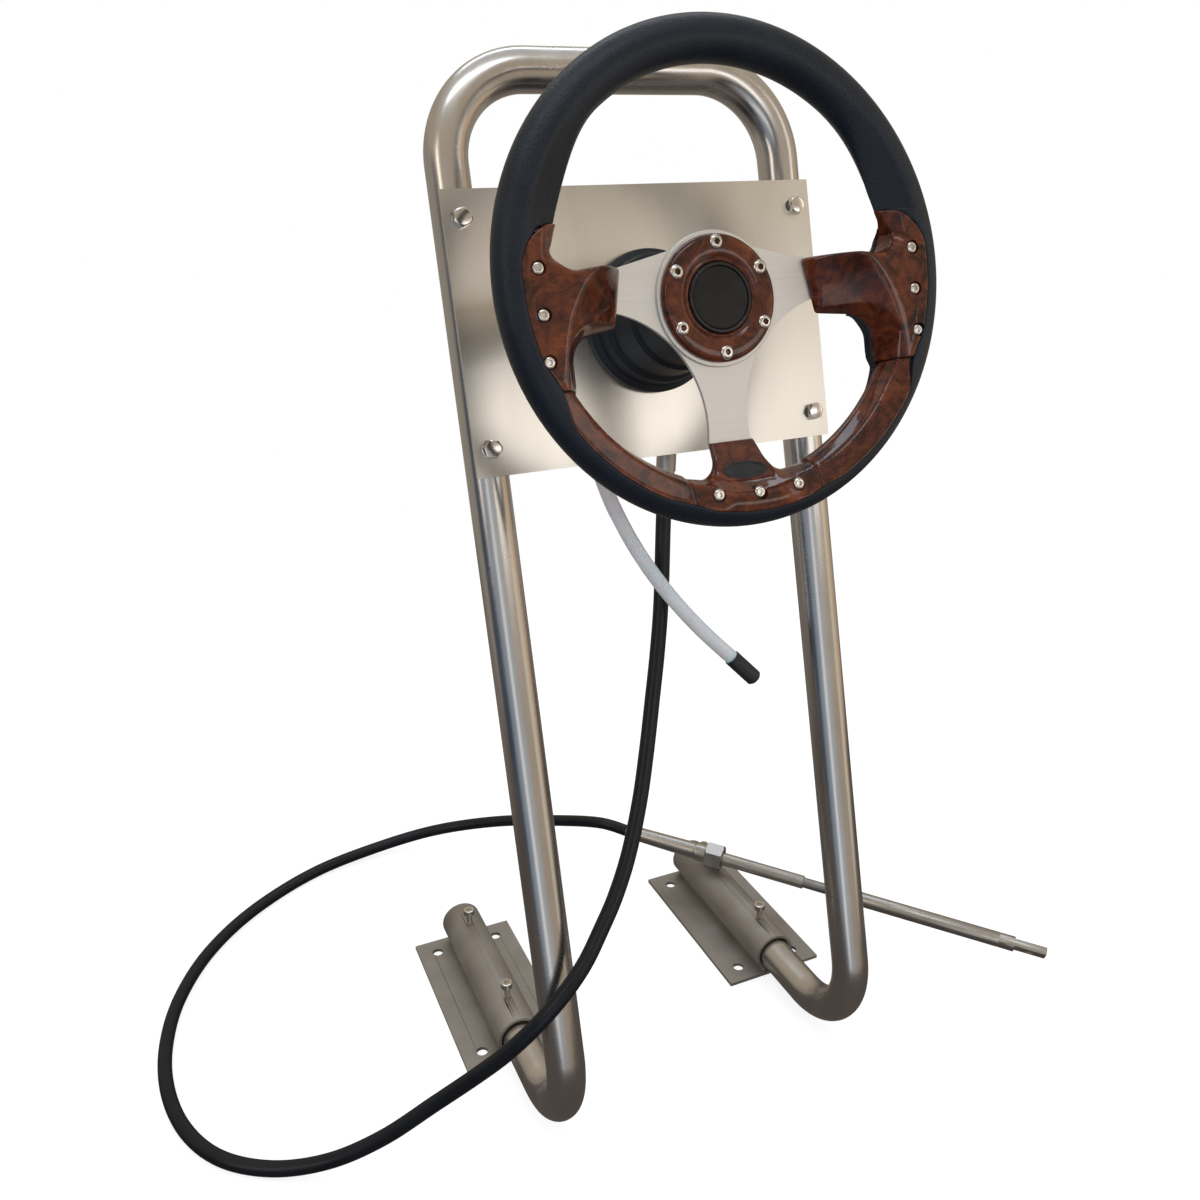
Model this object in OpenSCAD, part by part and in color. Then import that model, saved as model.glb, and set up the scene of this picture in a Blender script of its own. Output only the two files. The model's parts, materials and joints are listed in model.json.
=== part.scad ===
// Boat steering helm on a bent tube stand, with its wheel, rotary cable helm and push-pull cable.
// Millimetres. X to the right, Y to the back, Z up. The origin lies on the deck, midway between
// the two base plates.

/* [Stand] */
// Outside diameter of the stand tube
tube_d = 33.7; // [30:0.1:38]
// Wall of the stand tube
tube_wall = 2; // [1.5:0.1:3]
// Distance between the axes of the two legs
leg_span = 290; // [270:1:320]
// Length of a leg, from the foot corner to the axis of the top bar
leg_length = 885; // [860:1:940]
// Angle by which the legs lean back
leg_lean = 14.25; // [10:0.05:16]
// Radius of each bend, at the tube's axis
bend_r = 70; // [60:1:80]
// Distance from the foot corner back to the middle of the base plates
foot_reach = 245; // [230:1:265]

/* [Base plates] */
// Width of a base plate
base_w = 108; // [100:1:130]
// Length of a base plate
base_l = 200; // [180:1:220]
// Thickness of a base plate
base_t = 4; // [2:0.5:6]
// Sideways distance between the deck holes
hole_pitch_x = 67; // [64:1:80]
// Lengthways distance between the deck holes
hole_pitch_y = 160; // [130:1:170]
// Diameter of a deck hole
hole_d = 11; // [8:0.5:13]

/* [Sockets] */
// Play all round the foot in its socket
socket_play = 1.15; // [0.5:0.05:2]
// Wall of a socket
socket_wall = 3.2; // [2.5:0.1:4]
// Distance from the end of the base plate to the end of the socket
socket_inset = 2; // [0:0.5:8]
// Depth of the flat on which a socket is welded down
socket_flat = 0.8; // [0.4:0.1:1.5]
// Width of a weld bead at the deck
weld_w = 13; // [12:0.5:16]
// Distance from the end of the foot to the back end of the socket
foot_tail = 15; // [5:1:40]
// Diameter of a set screw
set_screw_d = 6; // [5:1:8]
// Diameter of a set screw's head
set_head_d = 10; // [9:0.5:13]
// Height of a set screw's head
set_head_h = 6; // [4:0.5:8]
// Length of shank that shows under a set screw's head
set_shank = 13; // [6:0.5:18]
// Distance of the front set screw from the middle of its socket
set_front = 65; // [40:1:80]
// Distance of the rear set screw from the middle of its socket
set_rear = 60; // [40:1:80]

/* [Helm plate] */
// Width of the helm plate
plate_w = 318; // [310:1:360]
// Height of the helm plate
plate_h = 213; // [190:1:240]
// Thickness of the helm plate
plate_t = 3; // [2:0.5:5]
// Distance along the legs from the foot corner to the middle of the plate
plate_mid = 687.5; // [660:0.5:700]
// Distance of a plate bolt from the plate's upper or lower edge
bolt_inset = 21; // [16:1:30]
// Diameter of a plate bolt
bolt_d = 8; // [6:1:10]
// Length of the slot for a plate bolt
slot_l = 18; // [14:1:24]
// Play of a plate bolt across its slot
slot_play = 1; // [0.5:0.1:2]
// Diameter of the shaft opening in the plate
plate_bore_d = 50; // [44:1:60]

/* [Helm gearbox] */
// Depth of the cable's plane behind the front of the plate
cable_plane = 45; // [44:0.5:50]
// Radius of the drum at the axis of the cable core
drum_pitch_r = 42; // [41:0.5:46]
// Width of the drum
drum_w = 24; // [20:1:26]
// Diameter of the cable core
core_d = 8; // [6:0.5:9]
// Tooth module of the gears
gear_module = 2; // [1.9:0.05:2.1]
// Teeth of the sun gear
sun_teeth = 12; // [12:3:12]
// Teeth of a planet gear
planet_teeth = 15; // [15:3:15]
// Width of the planets and the sun
gear_w = 12; // [8:1:14]
// Clearance between the flanks of meshing teeth
backlash = 0.3; // [0.2:0.05:0.4]
// Thickness of the case around the ring gear
case_wall = 5.5; // [4:0.5:8]
// Thickness of the case's front wall
case_front = 6; // [5:0.5:8]
// Thickness of the rear cover
cover_t = 10; // [9:0.5:14]
// Diameter of the wheel shaft
shaft_d = 19; // [17:0.5:20]
// Diameter of the shaft at the sun gear
journal_d = 12; // [10:0.5:13]
// Diameter of a planet pin
pin_d = 8; // [6:0.5:9]
// Radial clearance of a running fit
run_gap = 0.05; // [0.03:0.01:0.08]
// Clearance between pieces that pass each other
pass_gap = 0.4; // [0.3:0.1:0.8]

/* [Bezel] */
// Radius of the bezel at the plate
bezel_r = 56; // [54:0.5:62]
// Height of the bezel in front of the plate
bezel_h = 92; // [80:1:94]
// Wall of the bezel
bezel_wall = 3; // [2:0.5:4]

/* [Wheel] */
// Height of the spoke plate's front face above the helm plate
spoke_top = 109; // [108:0.5:114]
// Thickness of the spoke plate
spoke_t = 3; // [2:0.5:4]
// Height of the rim's middle plane above the helm plate
rim_mid = 131.5; // [128:0.5:136]
// Radius of the rim at its middle circle
rim_r = 155.5; // [150:0.5:165]
// Diameter of the rim's section
rim_d = 31; // [30:0.5:34]
// Rise of the rim's centre above the shaft axis
rim_rise = 11; // [8:0.5:13]
// Diameter of the steel ring inside the rim
rim_core_d = 10; // [8:0.5:12]
// Thickness of the wooden shells on the rim
shell_t = 3.5; // [3:0.5:5]
// Diameter of the wooden hub ring
hub_ring_d = 89; // [86:0.5:92]
// Thickness of the wooden hub ring
hub_ring_t = 8; // [6:0.5:10]
// Diameter of the hub ring's opening
hub_open_d = 50; // [46:0.5:54]
// Diameter of the circle of hub screws
hub_pcd = 76; // [72:0.5:78]
// Diameter of a hub screw
hub_screw_d = 5; // [4:0.5:6]
// Diameter of a trim screw
trim_screw_d = 4; // [3:0.5:5]
// Radius of the openings between the spokes
opening_r = 84; // [80:0.5:88]

/* [Cable] */
// Diameter of the cable's jacket
cable_d = 13.5; // [12:0.5:16]
// Diameter of the ferrule under the case
ferrule_d = 17; // [16:0.5:20]
// Length of the ferrule below the case
ferrule_l = 60; // [50:1:70]
// Angle of the cable's outlet to the leg line
outlet_tilt = 10; // [6:0.5:12]
// Diameter of the spent travel tube
spent_d = 12.7; // [12:0.1:14]
// Diameter of the output tube and the guide tube
guide_d = 13.5; // [13:0.1:15]
// Length of the output tube behind the right socket's axis
output_l = 106; // [90:1:115]
// Length of the guide tube in front of the right socket's axis
guide_l = 108; // [95:1:120]
// Diameter of the ram
ram_d = 16; // [15.5:0.1:18]
// Diameter of the ram's inner rod
rod_d = 11.5; // [9:0.5:12]
// Distance that the ram can still move in
ram_in = 40; // [30:1:60]
// Distance from the right socket's axis to the end of the ram
ram_reach = 368; // [350:1:390]
// Width across the flats of the cable nut
nut_af = 27; // [25:0.5:29]
// Length of the cable nut
nut_l = 18; // [14:1:20]
// Diameter of the hole across the ram's end
ram_hole_d = 9.5; // [8:0.5:10]

/* [Hidden] */
$fn = 96;
eye = 0.1;
plate_gap = 0.05;
screw_gap = 0.05;

// Heights of the sockets and the feet
socket_bore = tube_d + 2 * socket_play;
socket_d = socket_bore + 2 * socket_wall;
socket_l = base_l - 2 * socket_inset;
socket_z = base_t + socket_d / 2 - socket_flat;
foot_z = socket_z - socket_play + eye;
foot_end = socket_l / 2 - foot_tail;
corner_half = (90 - leg_lean) / 2;
bend_tangent = bend_r / tan(corner_half);
bend_sweep = 90 + leg_lean;
top_half = leg_span / 2 - bend_r;
seam_band = 0.1;
seam_half = 0.5;
plate_front = tube_d / 2 + plate_gap + plate_t;
bolt_y = plate_h / 2 - bolt_inset;
slot_w = bolt_d + slot_play;
bolt_head_af = 1.625 * bolt_d;
bolt_head_h = 0.66 * bolt_d;
bolt_nut_h = 0.8 * bolt_d;

// Stations along the shaft, measured forward from the front of the helm plate
plate_back = -plate_t;
wall_back = plate_back - case_front;
drum_front = -cable_plane + drum_w / 2;
drum_back = -cable_plane - drum_w / 2;
gear_front = drum_back - 2;
gear_back = gear_front - gear_w;
pin_head_t = 1.5;
pin_head_back = gear_back - pass_gap - pin_head_t;
cover_front = pin_head_back - 1.5;
cover_back = cover_front - cover_t;
boss_back = drum_front + 2;

// Gear and drum radii
ring_teeth = sun_teeth + 2 * planet_teeth;
sun_pitch_r = gear_module * sun_teeth / 2;
planet_pitch_r = gear_module * planet_teeth / 2;
ring_pitch_r = gear_module * ring_teeth / 2;
planet_orbit = sun_pitch_r + planet_pitch_r;
addendum = 0.9 * gear_module;
dedendum = 1.2 * gear_module;
ring_outer_r = ring_pitch_r + dedendum + 6;
core_gap = 0.3;
groove_r = core_d / 2 + core_gap;
drum_flange_r = drum_pitch_r + core_d / 2 + 0.7;
case_bore_r = drum_flange_r + 0.8;
case_r = ring_outer_r + case_wall;
shaft_r = shaft_d / 2;
journal_r = journal_d / 2;
front_bush_r = shaft_r + 3;
rear_bush_r = journal_r + 3;
seal_r = shaft_r + 5.5;
boss_r = front_bush_r + 3.5;
outlet_r = ferrule_d / 2 + 4;
outlet_foot = case_r + 8;
cover_screw_n = 6;
cover_screw_r = case_r - case_wall / 2;
case_bolt_r = 33;
case_bolt_n = 3;
case_bolt_d = 6;

// Wheel stations and radii
spoke_back = spoke_top - spoke_t;
hub_disc_r = hub_ring_d / 2 + 3;
hub_flange_r = hub_ring_d / 2;
hub_flange_back = spoke_back - 6;
hub_boss_r = 17;
hub_boss_back = 66;
taper_front = 94;
taper_front_r = shaft_r - 1.5;
thread_r = shaft_r - 2.5;
shaft_front = spoke_top + 3;
nut_pocket_r = 19;
hub_neck_r = nut_pocket_r + 5;
hub_neck_back = taper_front + 3;
hub_screw_n = 6;
hub_ring_front = spoke_top + hub_ring_t;
cap_ring_wall = 3;
cap_r = hub_open_d / 2 - cap_ring_wall;
sleeve_r = rim_d / 2 - shell_t;
rim_front = rim_mid + rim_d / 2;
trim_top = rim_front - 1;
trim_r = rim_r - 5.5;
wood_r = rim_r;
low_wood_r = rim_r + 5;
shell_back = rim_mid - 9.5;
seam_y = -rim_rise - 44;
seam_x = 50;
seam_gap = 0.3;
arm_root = 86;
arm_tip = rim_r - 5;
arm_rise = 25;
arm_low = -3;
arm_high = 22;
lower_arm_root = 101;
lower_arm_tip = rim_r - rim_rise - 4;
lower_arm_rise = 20;
lower_arm_half = 17;
opening_c = [opening_r + 16, -opening_r - 2];

// Side trim outline
tip_c = [trim_r - 26.5, rim_rise + 7.3];
tip_r = 32;
tip_turn = 5.7;
tip_from = 15;
tip_to = 82;
zone_gap = 0.15;
throat_c = [trim_r - 31.5, rim_rise + 23];
throat_r = 14;
crook_c = [trim_r - 50.5, seam_y + 17];
crook_r = 20;
trim_end_high = [73, 25];
trim_end_low = [81, -15];
crease_from = [trim_r - 46, 20];
crease_to = [trim_r - 15, seam_y + 4];
crease_slope = 43;
crease_turn = atan2(crease_to[1] - crease_from[1], crease_to[0] - crease_from[0]);

// Bottom trim outline
lower_end_y = -100;
lower_end_half = 17.5;
lower_fillet_r = 15.5;
lower_fillet_c = [lower_end_half + lower_fillet_r + 1.5, lower_end_y - 9];
lower_end_z = spoke_top + 3;
lower_brow_y = rim_rise - rim_r + 2;
lower_slope = atan2(trim_top - 5 - lower_end_z, lower_end_y - lower_brow_y);
function lower_slope_z(d) = lower_end_z + (d + lower_end_y) * tan(lower_slope);
badge_y = -121;
badge_half = [17.5, 6];
badge_t = 2;
badge_proud = 0.6;

// Screws of the wheel
button_d = 1.9;
button_h = 0.55;
side_screw_x = trim_r - 6;
side_screw_y = [22, -7, -36.5];
lower_screws = [[-32, rim_rise - rim_r + 9.5], [0, rim_rise - rim_r + 7.5], [32, rim_rise - rim_r + 9.5]];
seat_depth = 2.5;
lower_screw_z = rim_mid + sqrt(pow(rim_d / 2, 2) - pow(7.5, 2)) - seat_depth;
seat_play = 0.9;
trim_screw_l = 9;

// Cable output end, on a straight line through the nut
output_turn = -45;
output_dip = 5.6;
nut_shift = 3;
nut_back = nut_shift - nut_l / 2;
nut_front = nut_shift + nut_l / 2;
nut_drop = nut_front * sin(output_dip);
output_at = [143.5, 37.5, socket_z + socket_d / 2 + nut_af / sqrt(3) + nut_drop];
rod_rest = 2;
rod_back = -output_l + ram_in + rod_rest;
ram_back = guide_l + ram_in + pass_gap;
ram_tail = 30;
ram_end_l = 48;
flat_l = 32;
flat_depth = 4;

// Cable outlet on the helm
outlet_dir = [-sin(outlet_tilt), -cos(outlet_tilt), 0];
outlet_from = [drum_pitch_r * cos(outlet_tilt), -drum_pitch_r * sin(outlet_tilt), -cable_plane];
outlet_run = (outlet_foot - drum_pitch_r * sin(outlet_tilt)) / cos(outlet_tilt);
ferrule_end = outlet_run + ferrule_l;
spent_from = [-drum_pitch_r, 0, -cable_plane];
spent_fitting_l = 34;
spent_start = outlet_foot + spent_fitting_l - 20;

// A point of the helm's own frame, in the frame of the whole object
function helm_point(p) = [
    p[0],
    -foot_reach + (plate_mid + p[1]) * sin(leg_lean) - (plate_front + p[2]) * cos(leg_lean),
    foot_z + (plate_mid + p[1]) * cos(leg_lean) + (plate_front + p[2]) * sin(leg_lean)];
output_axis = [cos(output_dip) * cos(output_turn), cos(output_dip) * sin(output_turn), -sin(output_dip)];

// Route of the cable's jacket from the ferrule down to the deck, round its loop and up to the output tube
cable_start = helm_point(outlet_from + outlet_dir * ferrule_end);
cable_second = helm_point(outlet_from + outlet_dir * (ferrule_end + 40));
cable_last = output_at - output_axis * output_l;
cable_before = output_at - output_axis * (output_l + 35);
cable_route = concat([cable_start, cable_second], [
    [3, -109, 460], [-7, -122, 419], [-19, -136, 380], [-33, -153, 341], [-48, -170, 305], [-67, -188, 269],
    [-87, -204, 243], [-107, -217, 223], [-125, -228, 207], [-143, -235, 193], [-161, -237, 177],
    [-178, -233, 158], [-197, -225, 136], [-219, -213, 112], [-252, -196, 80], [-297, -178, 43],
    [-342, -159, 18], [-388, -137, 8], [-428, -106, 7], [-454, -61, 7], [-466, -5, 7], [-464, 55, 7],
    [-447, 120, 7], [-411, 185, 7], [-356, 240, 7], [-282, 283, 7], [-206, 297, 11], [-125, 288, 22],
    [-52, 245, 41], [8, 185, 61]], [cable_before, cable_last]);

// Route of the spent travel tube
spent_begin = helm_point(spent_from + [0, -spent_start, 0]);
spent_second = helm_point(spent_from + [0, -spent_start - 25, 0]);
spent_route = concat([spent_begin, spent_second], [
    [-34, -84, 552], [-26, -94, 528], [-17, -105, 506], [-5, -117, 483], [10, -129, 460], [28, -140, 437], [51, -150, 412]]);
spent_cap_l = 30;
spent_end = spent_route[len(spent_route) - 1];
spent_heading = spent_end - spent_route[len(spent_route) - 2];

// Frames
module on_leg(side) {
    translate([side * leg_span / 2, -foot_reach, foot_z]) children();
}

module on_helm() {
    translate([0, -foot_reach, foot_z])
        rotate([90 - leg_lean, 0, 0])
            translate([0, plate_mid, plate_front])
                children();
}

module on_output() {
    translate(output_at) rotate([0, 90 + output_dip, output_turn]) children();
}

// A round bar between two heights
module bar(r, from, to) {
    translate([0, 0, from]) cylinder(r = r, h = to - from);
}

// A ring between two heights
module ring(outer, inner, from, to) {
    difference() {
        bar(outer, from, to);
        bar(inner, from - 1, to + 1);
    }
}

// A hexagonal bar between two heights
module hex_bar(flats, from, to) {
    translate([0, 0, from]) cylinder(d = 2 * flats / sqrt(3), h = to - from, $fn = 6);
}

// Points of an arc from one angle to another
function arc(c, r, from, to, steps = 12) =
    [for (i = [0 : steps]) let (a = from + (to - from) * i / steps) c + r * [cos(a), sin(a)]];

// Points along a smooth curve through a route
function curve_point(a, b, c, d, t) =
    0.5 * (2 * b + (c - a) * t + (2 * a - 5 * b + 4 * c - d) * t * t + (3 * b - a - 3 * c + d) * t * t * t);
function smooth(p, steps) = let (n = len(p)) concat(
    [for (i = [0 : n - 2]) for (k = [0 : steps - 1])
        curve_point(p[max(i - 1, 0)], p[i], p[i + 1], p[min(i + 2, n - 1)], k / steps)],
    [p[n - 1]]);
function unit(v) = v / norm(v);
function tangents(p) = let (n = len(p))
    [for (i = [0 : n - 1]) unit(p[min(i + 1, n - 1)] - p[max(i - 1, 0)])];
function carry(t, v) = unit(v - (v * t) * t);
function normals(ts, v, i = 0) =
    i == len(ts) ? [] : let (w = carry(ts[i], v)) concat([w], normals(ts, w, i + 1));

// A tube of a cord along its route
module cord(route, d, steps, sides = 10) {
    p = smooth(route, steps);
    ts = tangents(p);
    ns = normals(ts, [0.9, 0.3, 0.1]);
    rings = len(p);
    points = [for (i = [0 : rings - 1]) for (k = [0 : sides - 1])
        let (a = 360 * k / sides, b = cross(ts[i], ns[i])) p[i] + d / 2 * (cos(a) * ns[i] + sin(a) * b)];
    walls = [for (i = [0 : rings - 2]) for (k = [0 : sides - 1]) for (half = [0, 1])
        let (m = (k + 1) % sides, q = i * sides)
        half == 0 ? [q + k, q + sides + m, q + m] : [q + k, q + sides + k, q + sides + m]];
    caps = [[for (k = [0 : sides - 1]) k], [for (k = [sides - 1 : -1 : 0]) (rings - 1) * sides + k]];
    polyhedron(points, concat(walls, caps), convexity = 6);
}

// Involute gear outline
function roll(a) = tan(a) * 180 / PI - a;
function flank(r, base, half) = half - (r > base ? roll(acos(base / r)) : 0);
function tooth_points(teeth, pitch, tip, root, thin, at) =
    let (base = pitch * cos(20),
         half = 90 / teeth - thin / 2 / pitch * 180 / PI + roll(20),
         low = max(root, base),
         radii = [low, (low + pitch) / 2, pitch, (pitch + tip) / 2, tip],
         rise = [for (r = radii) let (a = at - flank(r, base, half)) r * [cos(a), sin(a)]],
         fall = [for (i = [len(radii) - 1 : -1 : 0])
             let (a = at + flank(radii[i], base, half)) radii[i] * [cos(a), sin(a)]],
         foot = flank(low, base, half))
    concat(root < low - 0.01 ? [root * [cos(at - foot), sin(at - foot)]] : [], rise, fall,
           root < low - 0.01 ? [root * [cos(at + foot), sin(at + foot)]] : []);
function gear_points(teeth, pitch, tip, root, thin) =
    [for (i = [0 : teeth - 1]) each tooth_points(teeth, pitch, tip, root, thin, 360 * i / teeth)];

// A thin band over the seam between a bend and a straight run
module seam(r, at) {
    translate([0, 0, at]) bar(r + seam_band, -seam_half, seam_half);
}

// The stand's run of tube, as a solid of one radius
module stand_path(r, over) {
    for (side = [-1, 1]) on_leg(side) {
        translate([0, bend_tangent, 0]) rotate([-90, 0, 0]) {
            bar(r, 0, foot_reach + foot_end - bend_tangent + over);
            seam(r, 0);
        }
        translate([0, bend_tangent, bend_r]) rotate([0, 90, 0]) rotate([0, 0, -bend_sweep])
            rotate_extrude(angle = bend_sweep) translate([bend_r, 0]) circle(r = r);
        rotate([-leg_lean, 0, 0]) {
            bar(r, bend_tangent, leg_length - bend_r);
            seam(r, bend_tangent);
            seam(r, leg_length - bend_r);
        }
    }
    translate([0, -foot_reach, foot_z]) rotate([90 - leg_lean, 0, 0]) {
        for (turn = [0, 90])
            translate([(turn == 0 ? 1 : -1) * top_half, leg_length - bend_r, 0])
                rotate([0, 0, turn]) rotate_extrude(angle = 90) translate([bend_r, 0]) circle(r = r);
        translate([0, leg_length, 0]) rotate([0, 90, 0]) {
            bar(r, -top_half, top_half);
            seam(r, -top_half);
            seam(r, top_half);
        }
    }
}

module bolt_places() {
    for (side = [-1, 1]) for (up = [-1, 1])
        translate([side * leg_span / 2, up * bolt_y, 0]) children();
}

module stand_tube() {
    color("silver") difference() {
        stand_path(tube_d / 2, 0);
        stand_path(tube_d / 2 - tube_wall, 1);
        on_helm() bolt_places() bar(bolt_d / 2 + screw_gap, -plate_front - tube_d, 1);
    }
}

// Base plates and sockets
module base_plate(side) {
    translate([side * leg_span / 2, 0, 0]) difference() {
        translate([-base_w / 2, -base_l / 2, 0]) cube([base_w, base_l, base_t]);
        for (x = [-1, 1]) for (y = [-1, 1])
            translate([x * hole_pitch_x / 2, y * hole_pitch_y / 2, -1]) cylinder(d = hole_d, h = base_t + 2);
    }
}
module base_plate_left() { color("darkgray") base_plate(-1); }
module base_plate_right() { color("darkgray") base_plate(1); }

module set_places() {
    for (y = [-set_front, set_rear]) translate([0, y, 0]) children();
}

module weld(way) {
    mirror([way, 0, 0]) polygon([[4, base_t], [weld_w, base_t], [weld_w - 1, base_t + 3.5], [6, base_t + 3]]);
}

module socket(side) {
    translate([side * leg_span / 2, 0, 0]) difference() {
        union() {
            translate([0, -socket_l / 2, socket_z]) rotate([-90, 0, 0]) cylinder(d = socket_d, h = socket_l);
            for (way = [0, 1]) translate([0, socket_l / 2, 0]) rotate([90, 0, 0])
                linear_extrude(socket_l) weld(way);
        }
        translate([0, -socket_l / 2 - 1, socket_z]) rotate([-90, 0, 0]) cylinder(d = socket_bore, h = socket_l + 2);
        translate([-socket_d, -socket_l, base_t - socket_d]) cube([2 * socket_d, 2 * socket_l, socket_d]);
        set_places() bar(set_screw_d / 2 + screw_gap, socket_z, socket_z + socket_d);
    }
}
module socket_left() { color("darkgray") socket(-1); }
module socket_right() { color("darkgray") socket(1); }

module set_screws() {
    tip = foot_z + tube_d / 2;
    seat = socket_z + socket_d / 2 + set_shank;
    color("silver") for (side = [-1, 1]) translate([side * leg_span / 2, 0, 0]) set_places() difference() {
        union() {
            bar(set_screw_d / 2, tip, seat + 1);
            bar(set_head_d / 2, seat, seat + set_head_h);
        }
        hex_bar(set_head_d / 2, seat + set_head_h / 2, seat + set_head_h + 1);
    }
}

// Helm plate and its fasteners
module slot_shape() {
    for (side = [-1, 1]) translate([side * (slot_l - slot_w) / 2, 0]) circle(d = slot_w);
    square([slot_l - slot_w, slot_w], center = true);
}

module case_bolt_places() {
    for (i = [0 : case_bolt_n - 1]) rotate([0, 0, 90 + 360 * i / case_bolt_n])
        translate([case_bolt_r, 0, 0]) children();
}

module helm_plate() {
    color("lightgray") on_helm() difference() {
        translate([-plate_w / 2, -plate_h / 2, plate_back]) cube([plate_w, plate_h, plate_t]);
        bar(plate_bore_d / 2, plate_back - 1, 1);
        bolt_places() translate([0, 0, plate_back - 1]) linear_extrude(plate_t + 2) slot_shape();
        case_bolt_places() bar(case_bolt_d / 2 + screw_gap, plate_back - 1, 1);
    }
}

module plate_bolts() {
    color("silver") on_helm() bolt_places() {
        bar(bolt_d / 2, -plate_front - tube_d / 2 - bolt_nut_h - 3, 1);
        rotate([0, 0, 15]) hex_bar(bolt_head_af, 0, bolt_head_h);
    }
}

module plate_nuts() {
    seat = -plate_front - tube_d / 2;
    color("silver") on_helm() bolt_places() difference() {
        hex_bar(bolt_head_af, seat - bolt_nut_h, seat);
        bar(bolt_d / 2 + screw_gap, seat - bolt_nut_h - 1, seat + 1);
    }
}

module helm_bezel() {
    outer = [[bezel_r, 0], [bezel_r, 8], [bezel_r - 5, 10], [bezel_r - 6.5, 24], [bezel_r - 10, 26],
        [bezel_r - 12, 56], [bezel_r - 15, 58], [bezel_r - 19, bezel_h - 4], [bezel_r - 23, bezel_h]];
    inner = [[hub_boss_r + 3, bezel_h], [hub_boss_r + 3, bezel_h - bezel_wall], [bezel_r - 24, bezel_h - bezel_wall],
        [bezel_r - 19 - bezel_wall, 57], [bezel_r - 12 - bezel_wall, 25], [bezel_r - 6.5 - bezel_wall, 9],
        [bezel_r - bezel_wall - 2, 7], [bezel_r - bezel_wall, 0]];
    color([0.08, 0.09, 0.1]) on_helm() rotate_extrude() polygon(concat(outer, inner));
}

// Helm gearbox
module cable_outlet(r, from, to) {
    translate(outlet_from) rotate([90, 0, -outlet_tilt]) bar(r, from, to);
}

module spent_outlet(r, from, to) {
    translate(spent_from) rotate([90, 0, 0]) bar(r, from, to);
}

module cover_screw_places() {
    for (i = [0 : cover_screw_n - 1]) rotate([0, 0, 30 + 360 * i / cover_screw_n])
        translate([cover_screw_r, 0, 0]) children();
}

module helm_case() {
    color([0.15, 0.15, 0.16]) on_helm() difference() {
        union() {
            bar(case_r, cover_front, plate_back);
            cable_outlet(outlet_r, 10, outlet_run);
            spent_outlet(outlet_r, 10, outlet_foot);
        }
        difference() {
            bar(case_bore_r, cover_front - 1, wall_back);
            bar(boss_r, boss_back, wall_back + 1);
        }
        bar(ring_outer_r + screw_gap, cover_front - 1, drum_back - 1);
        bar(front_bush_r + screw_gap, boss_back - 1, wall_back);
        bar(shaft_r + 1, wall_back - 1, plate_back);
        bar(seal_r + screw_gap, wall_back + 1, plate_back + 1);
        cable_outlet(groove_r, -1, outlet_run);
        spent_outlet(groove_r, -1, outlet_foot);
        cable_outlet(ferrule_d / 2 + screw_gap, outlet_run - 20, outlet_run + 1);
        spent_outlet(ferrule_d / 2 + screw_gap, outlet_foot - 20, outlet_foot + 1);
        ferrule_pin_hole();
        cover_screw_places() bar(1.5 + screw_gap, cover_front - 1, cover_front + 8);
        case_bolt_places() bar(case_bolt_d / 2 + screw_gap, wall_back - 1, plate_back + 1);
    }
}

module ferrule_pin_hole() {
    translate(outlet_from + outlet_dir * (outlet_run - 10)) translate([0, 0, ferrule_d / 2 - 4])
        bar(2 + screw_gap, 0, outlet_r);
}

module ferrule_pin() {
    color("gold") on_helm() translate(outlet_from + outlet_dir * (outlet_run - 10)) {
        bar(2, ferrule_d / 2 - 3.5, outlet_r + 1.5);
        bar(3.2, outlet_r + 0.3, outlet_r + 3);
    }
}

module case_bolts() {
    color("silver") on_helm() case_bolt_places() {
        bar(case_bolt_d / 2, wall_back - 4, 1);
        hex_bar(case_bolt_d * 1.65, 0, 4);
        hex_bar(case_bolt_d * 1.65, wall_back - 4, wall_back);
    }
}

module case_cover() {
    color([0.15, 0.15, 0.16]) on_helm() difference() {
        bar(case_r, cover_back, cover_front);
        bar(rear_bush_r + screw_gap, cover_back + 3, cover_front + 1);
        cover_screw_places() bar(1.5 + 0.3, cover_back - 1, cover_front + 1);
    }
}

module cover_screws() {
    color("silver") on_helm() cover_screw_places() {
        bar(1.5, cover_back - 1, cover_front + 7);
        bar(2.7, cover_back - 2, cover_back);
    }
}

module ring_gear() {
    color("gray") on_helm() difference() {
        bar(ring_outer_r, cover_front, drum_back - 1);
        translate([0, 0, cover_front - 1]) linear_extrude(drum_back - cover_front + 1)
            rotate([0, 0, 90]) polygon(gear_points(ring_teeth, ring_pitch_r, ring_pitch_r + dedendum,
                ring_pitch_r - addendum, -backlash));
    }
}

module front_bush() {
    color("goldenrod") on_helm() ring(front_bush_r, shaft_r + run_gap, boss_back, wall_back);
}

module rear_bush() {
    color("goldenrod") on_helm() ring(rear_bush_r, journal_r + run_gap, cover_back + 3, cover_front);
}

module shaft_seal() {
    color("black") on_helm() ring(seal_r, shaft_r + run_gap, wall_back + 1, plate_back);
}

module cable_core() {
    route = concat([outlet_from + outlet_dir * (ferrule_end - 15)],
        [for (p = arc([0, 0], drum_pitch_r, -outlet_tilt, 180, 24)) [p[0], p[1], -cable_plane]],
        [spent_from + [0, 5 - spent_start, 0]]);
    color("dimgray") on_helm() cord(route, core_d, 1);
}

module cable_ferrule() {
    color("silver") on_helm() difference() {
        union() {
            cable_outlet(ferrule_d / 2, outlet_run - 20, ferrule_end - 2);
            cable_outlet(ferrule_d / 2 - 0.8, ferrule_end - 3, ferrule_end);
        }
        cable_outlet(groove_r, outlet_run - 21, ferrule_end - 14);
        ferrule_pin_hole();
    }
}

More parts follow.
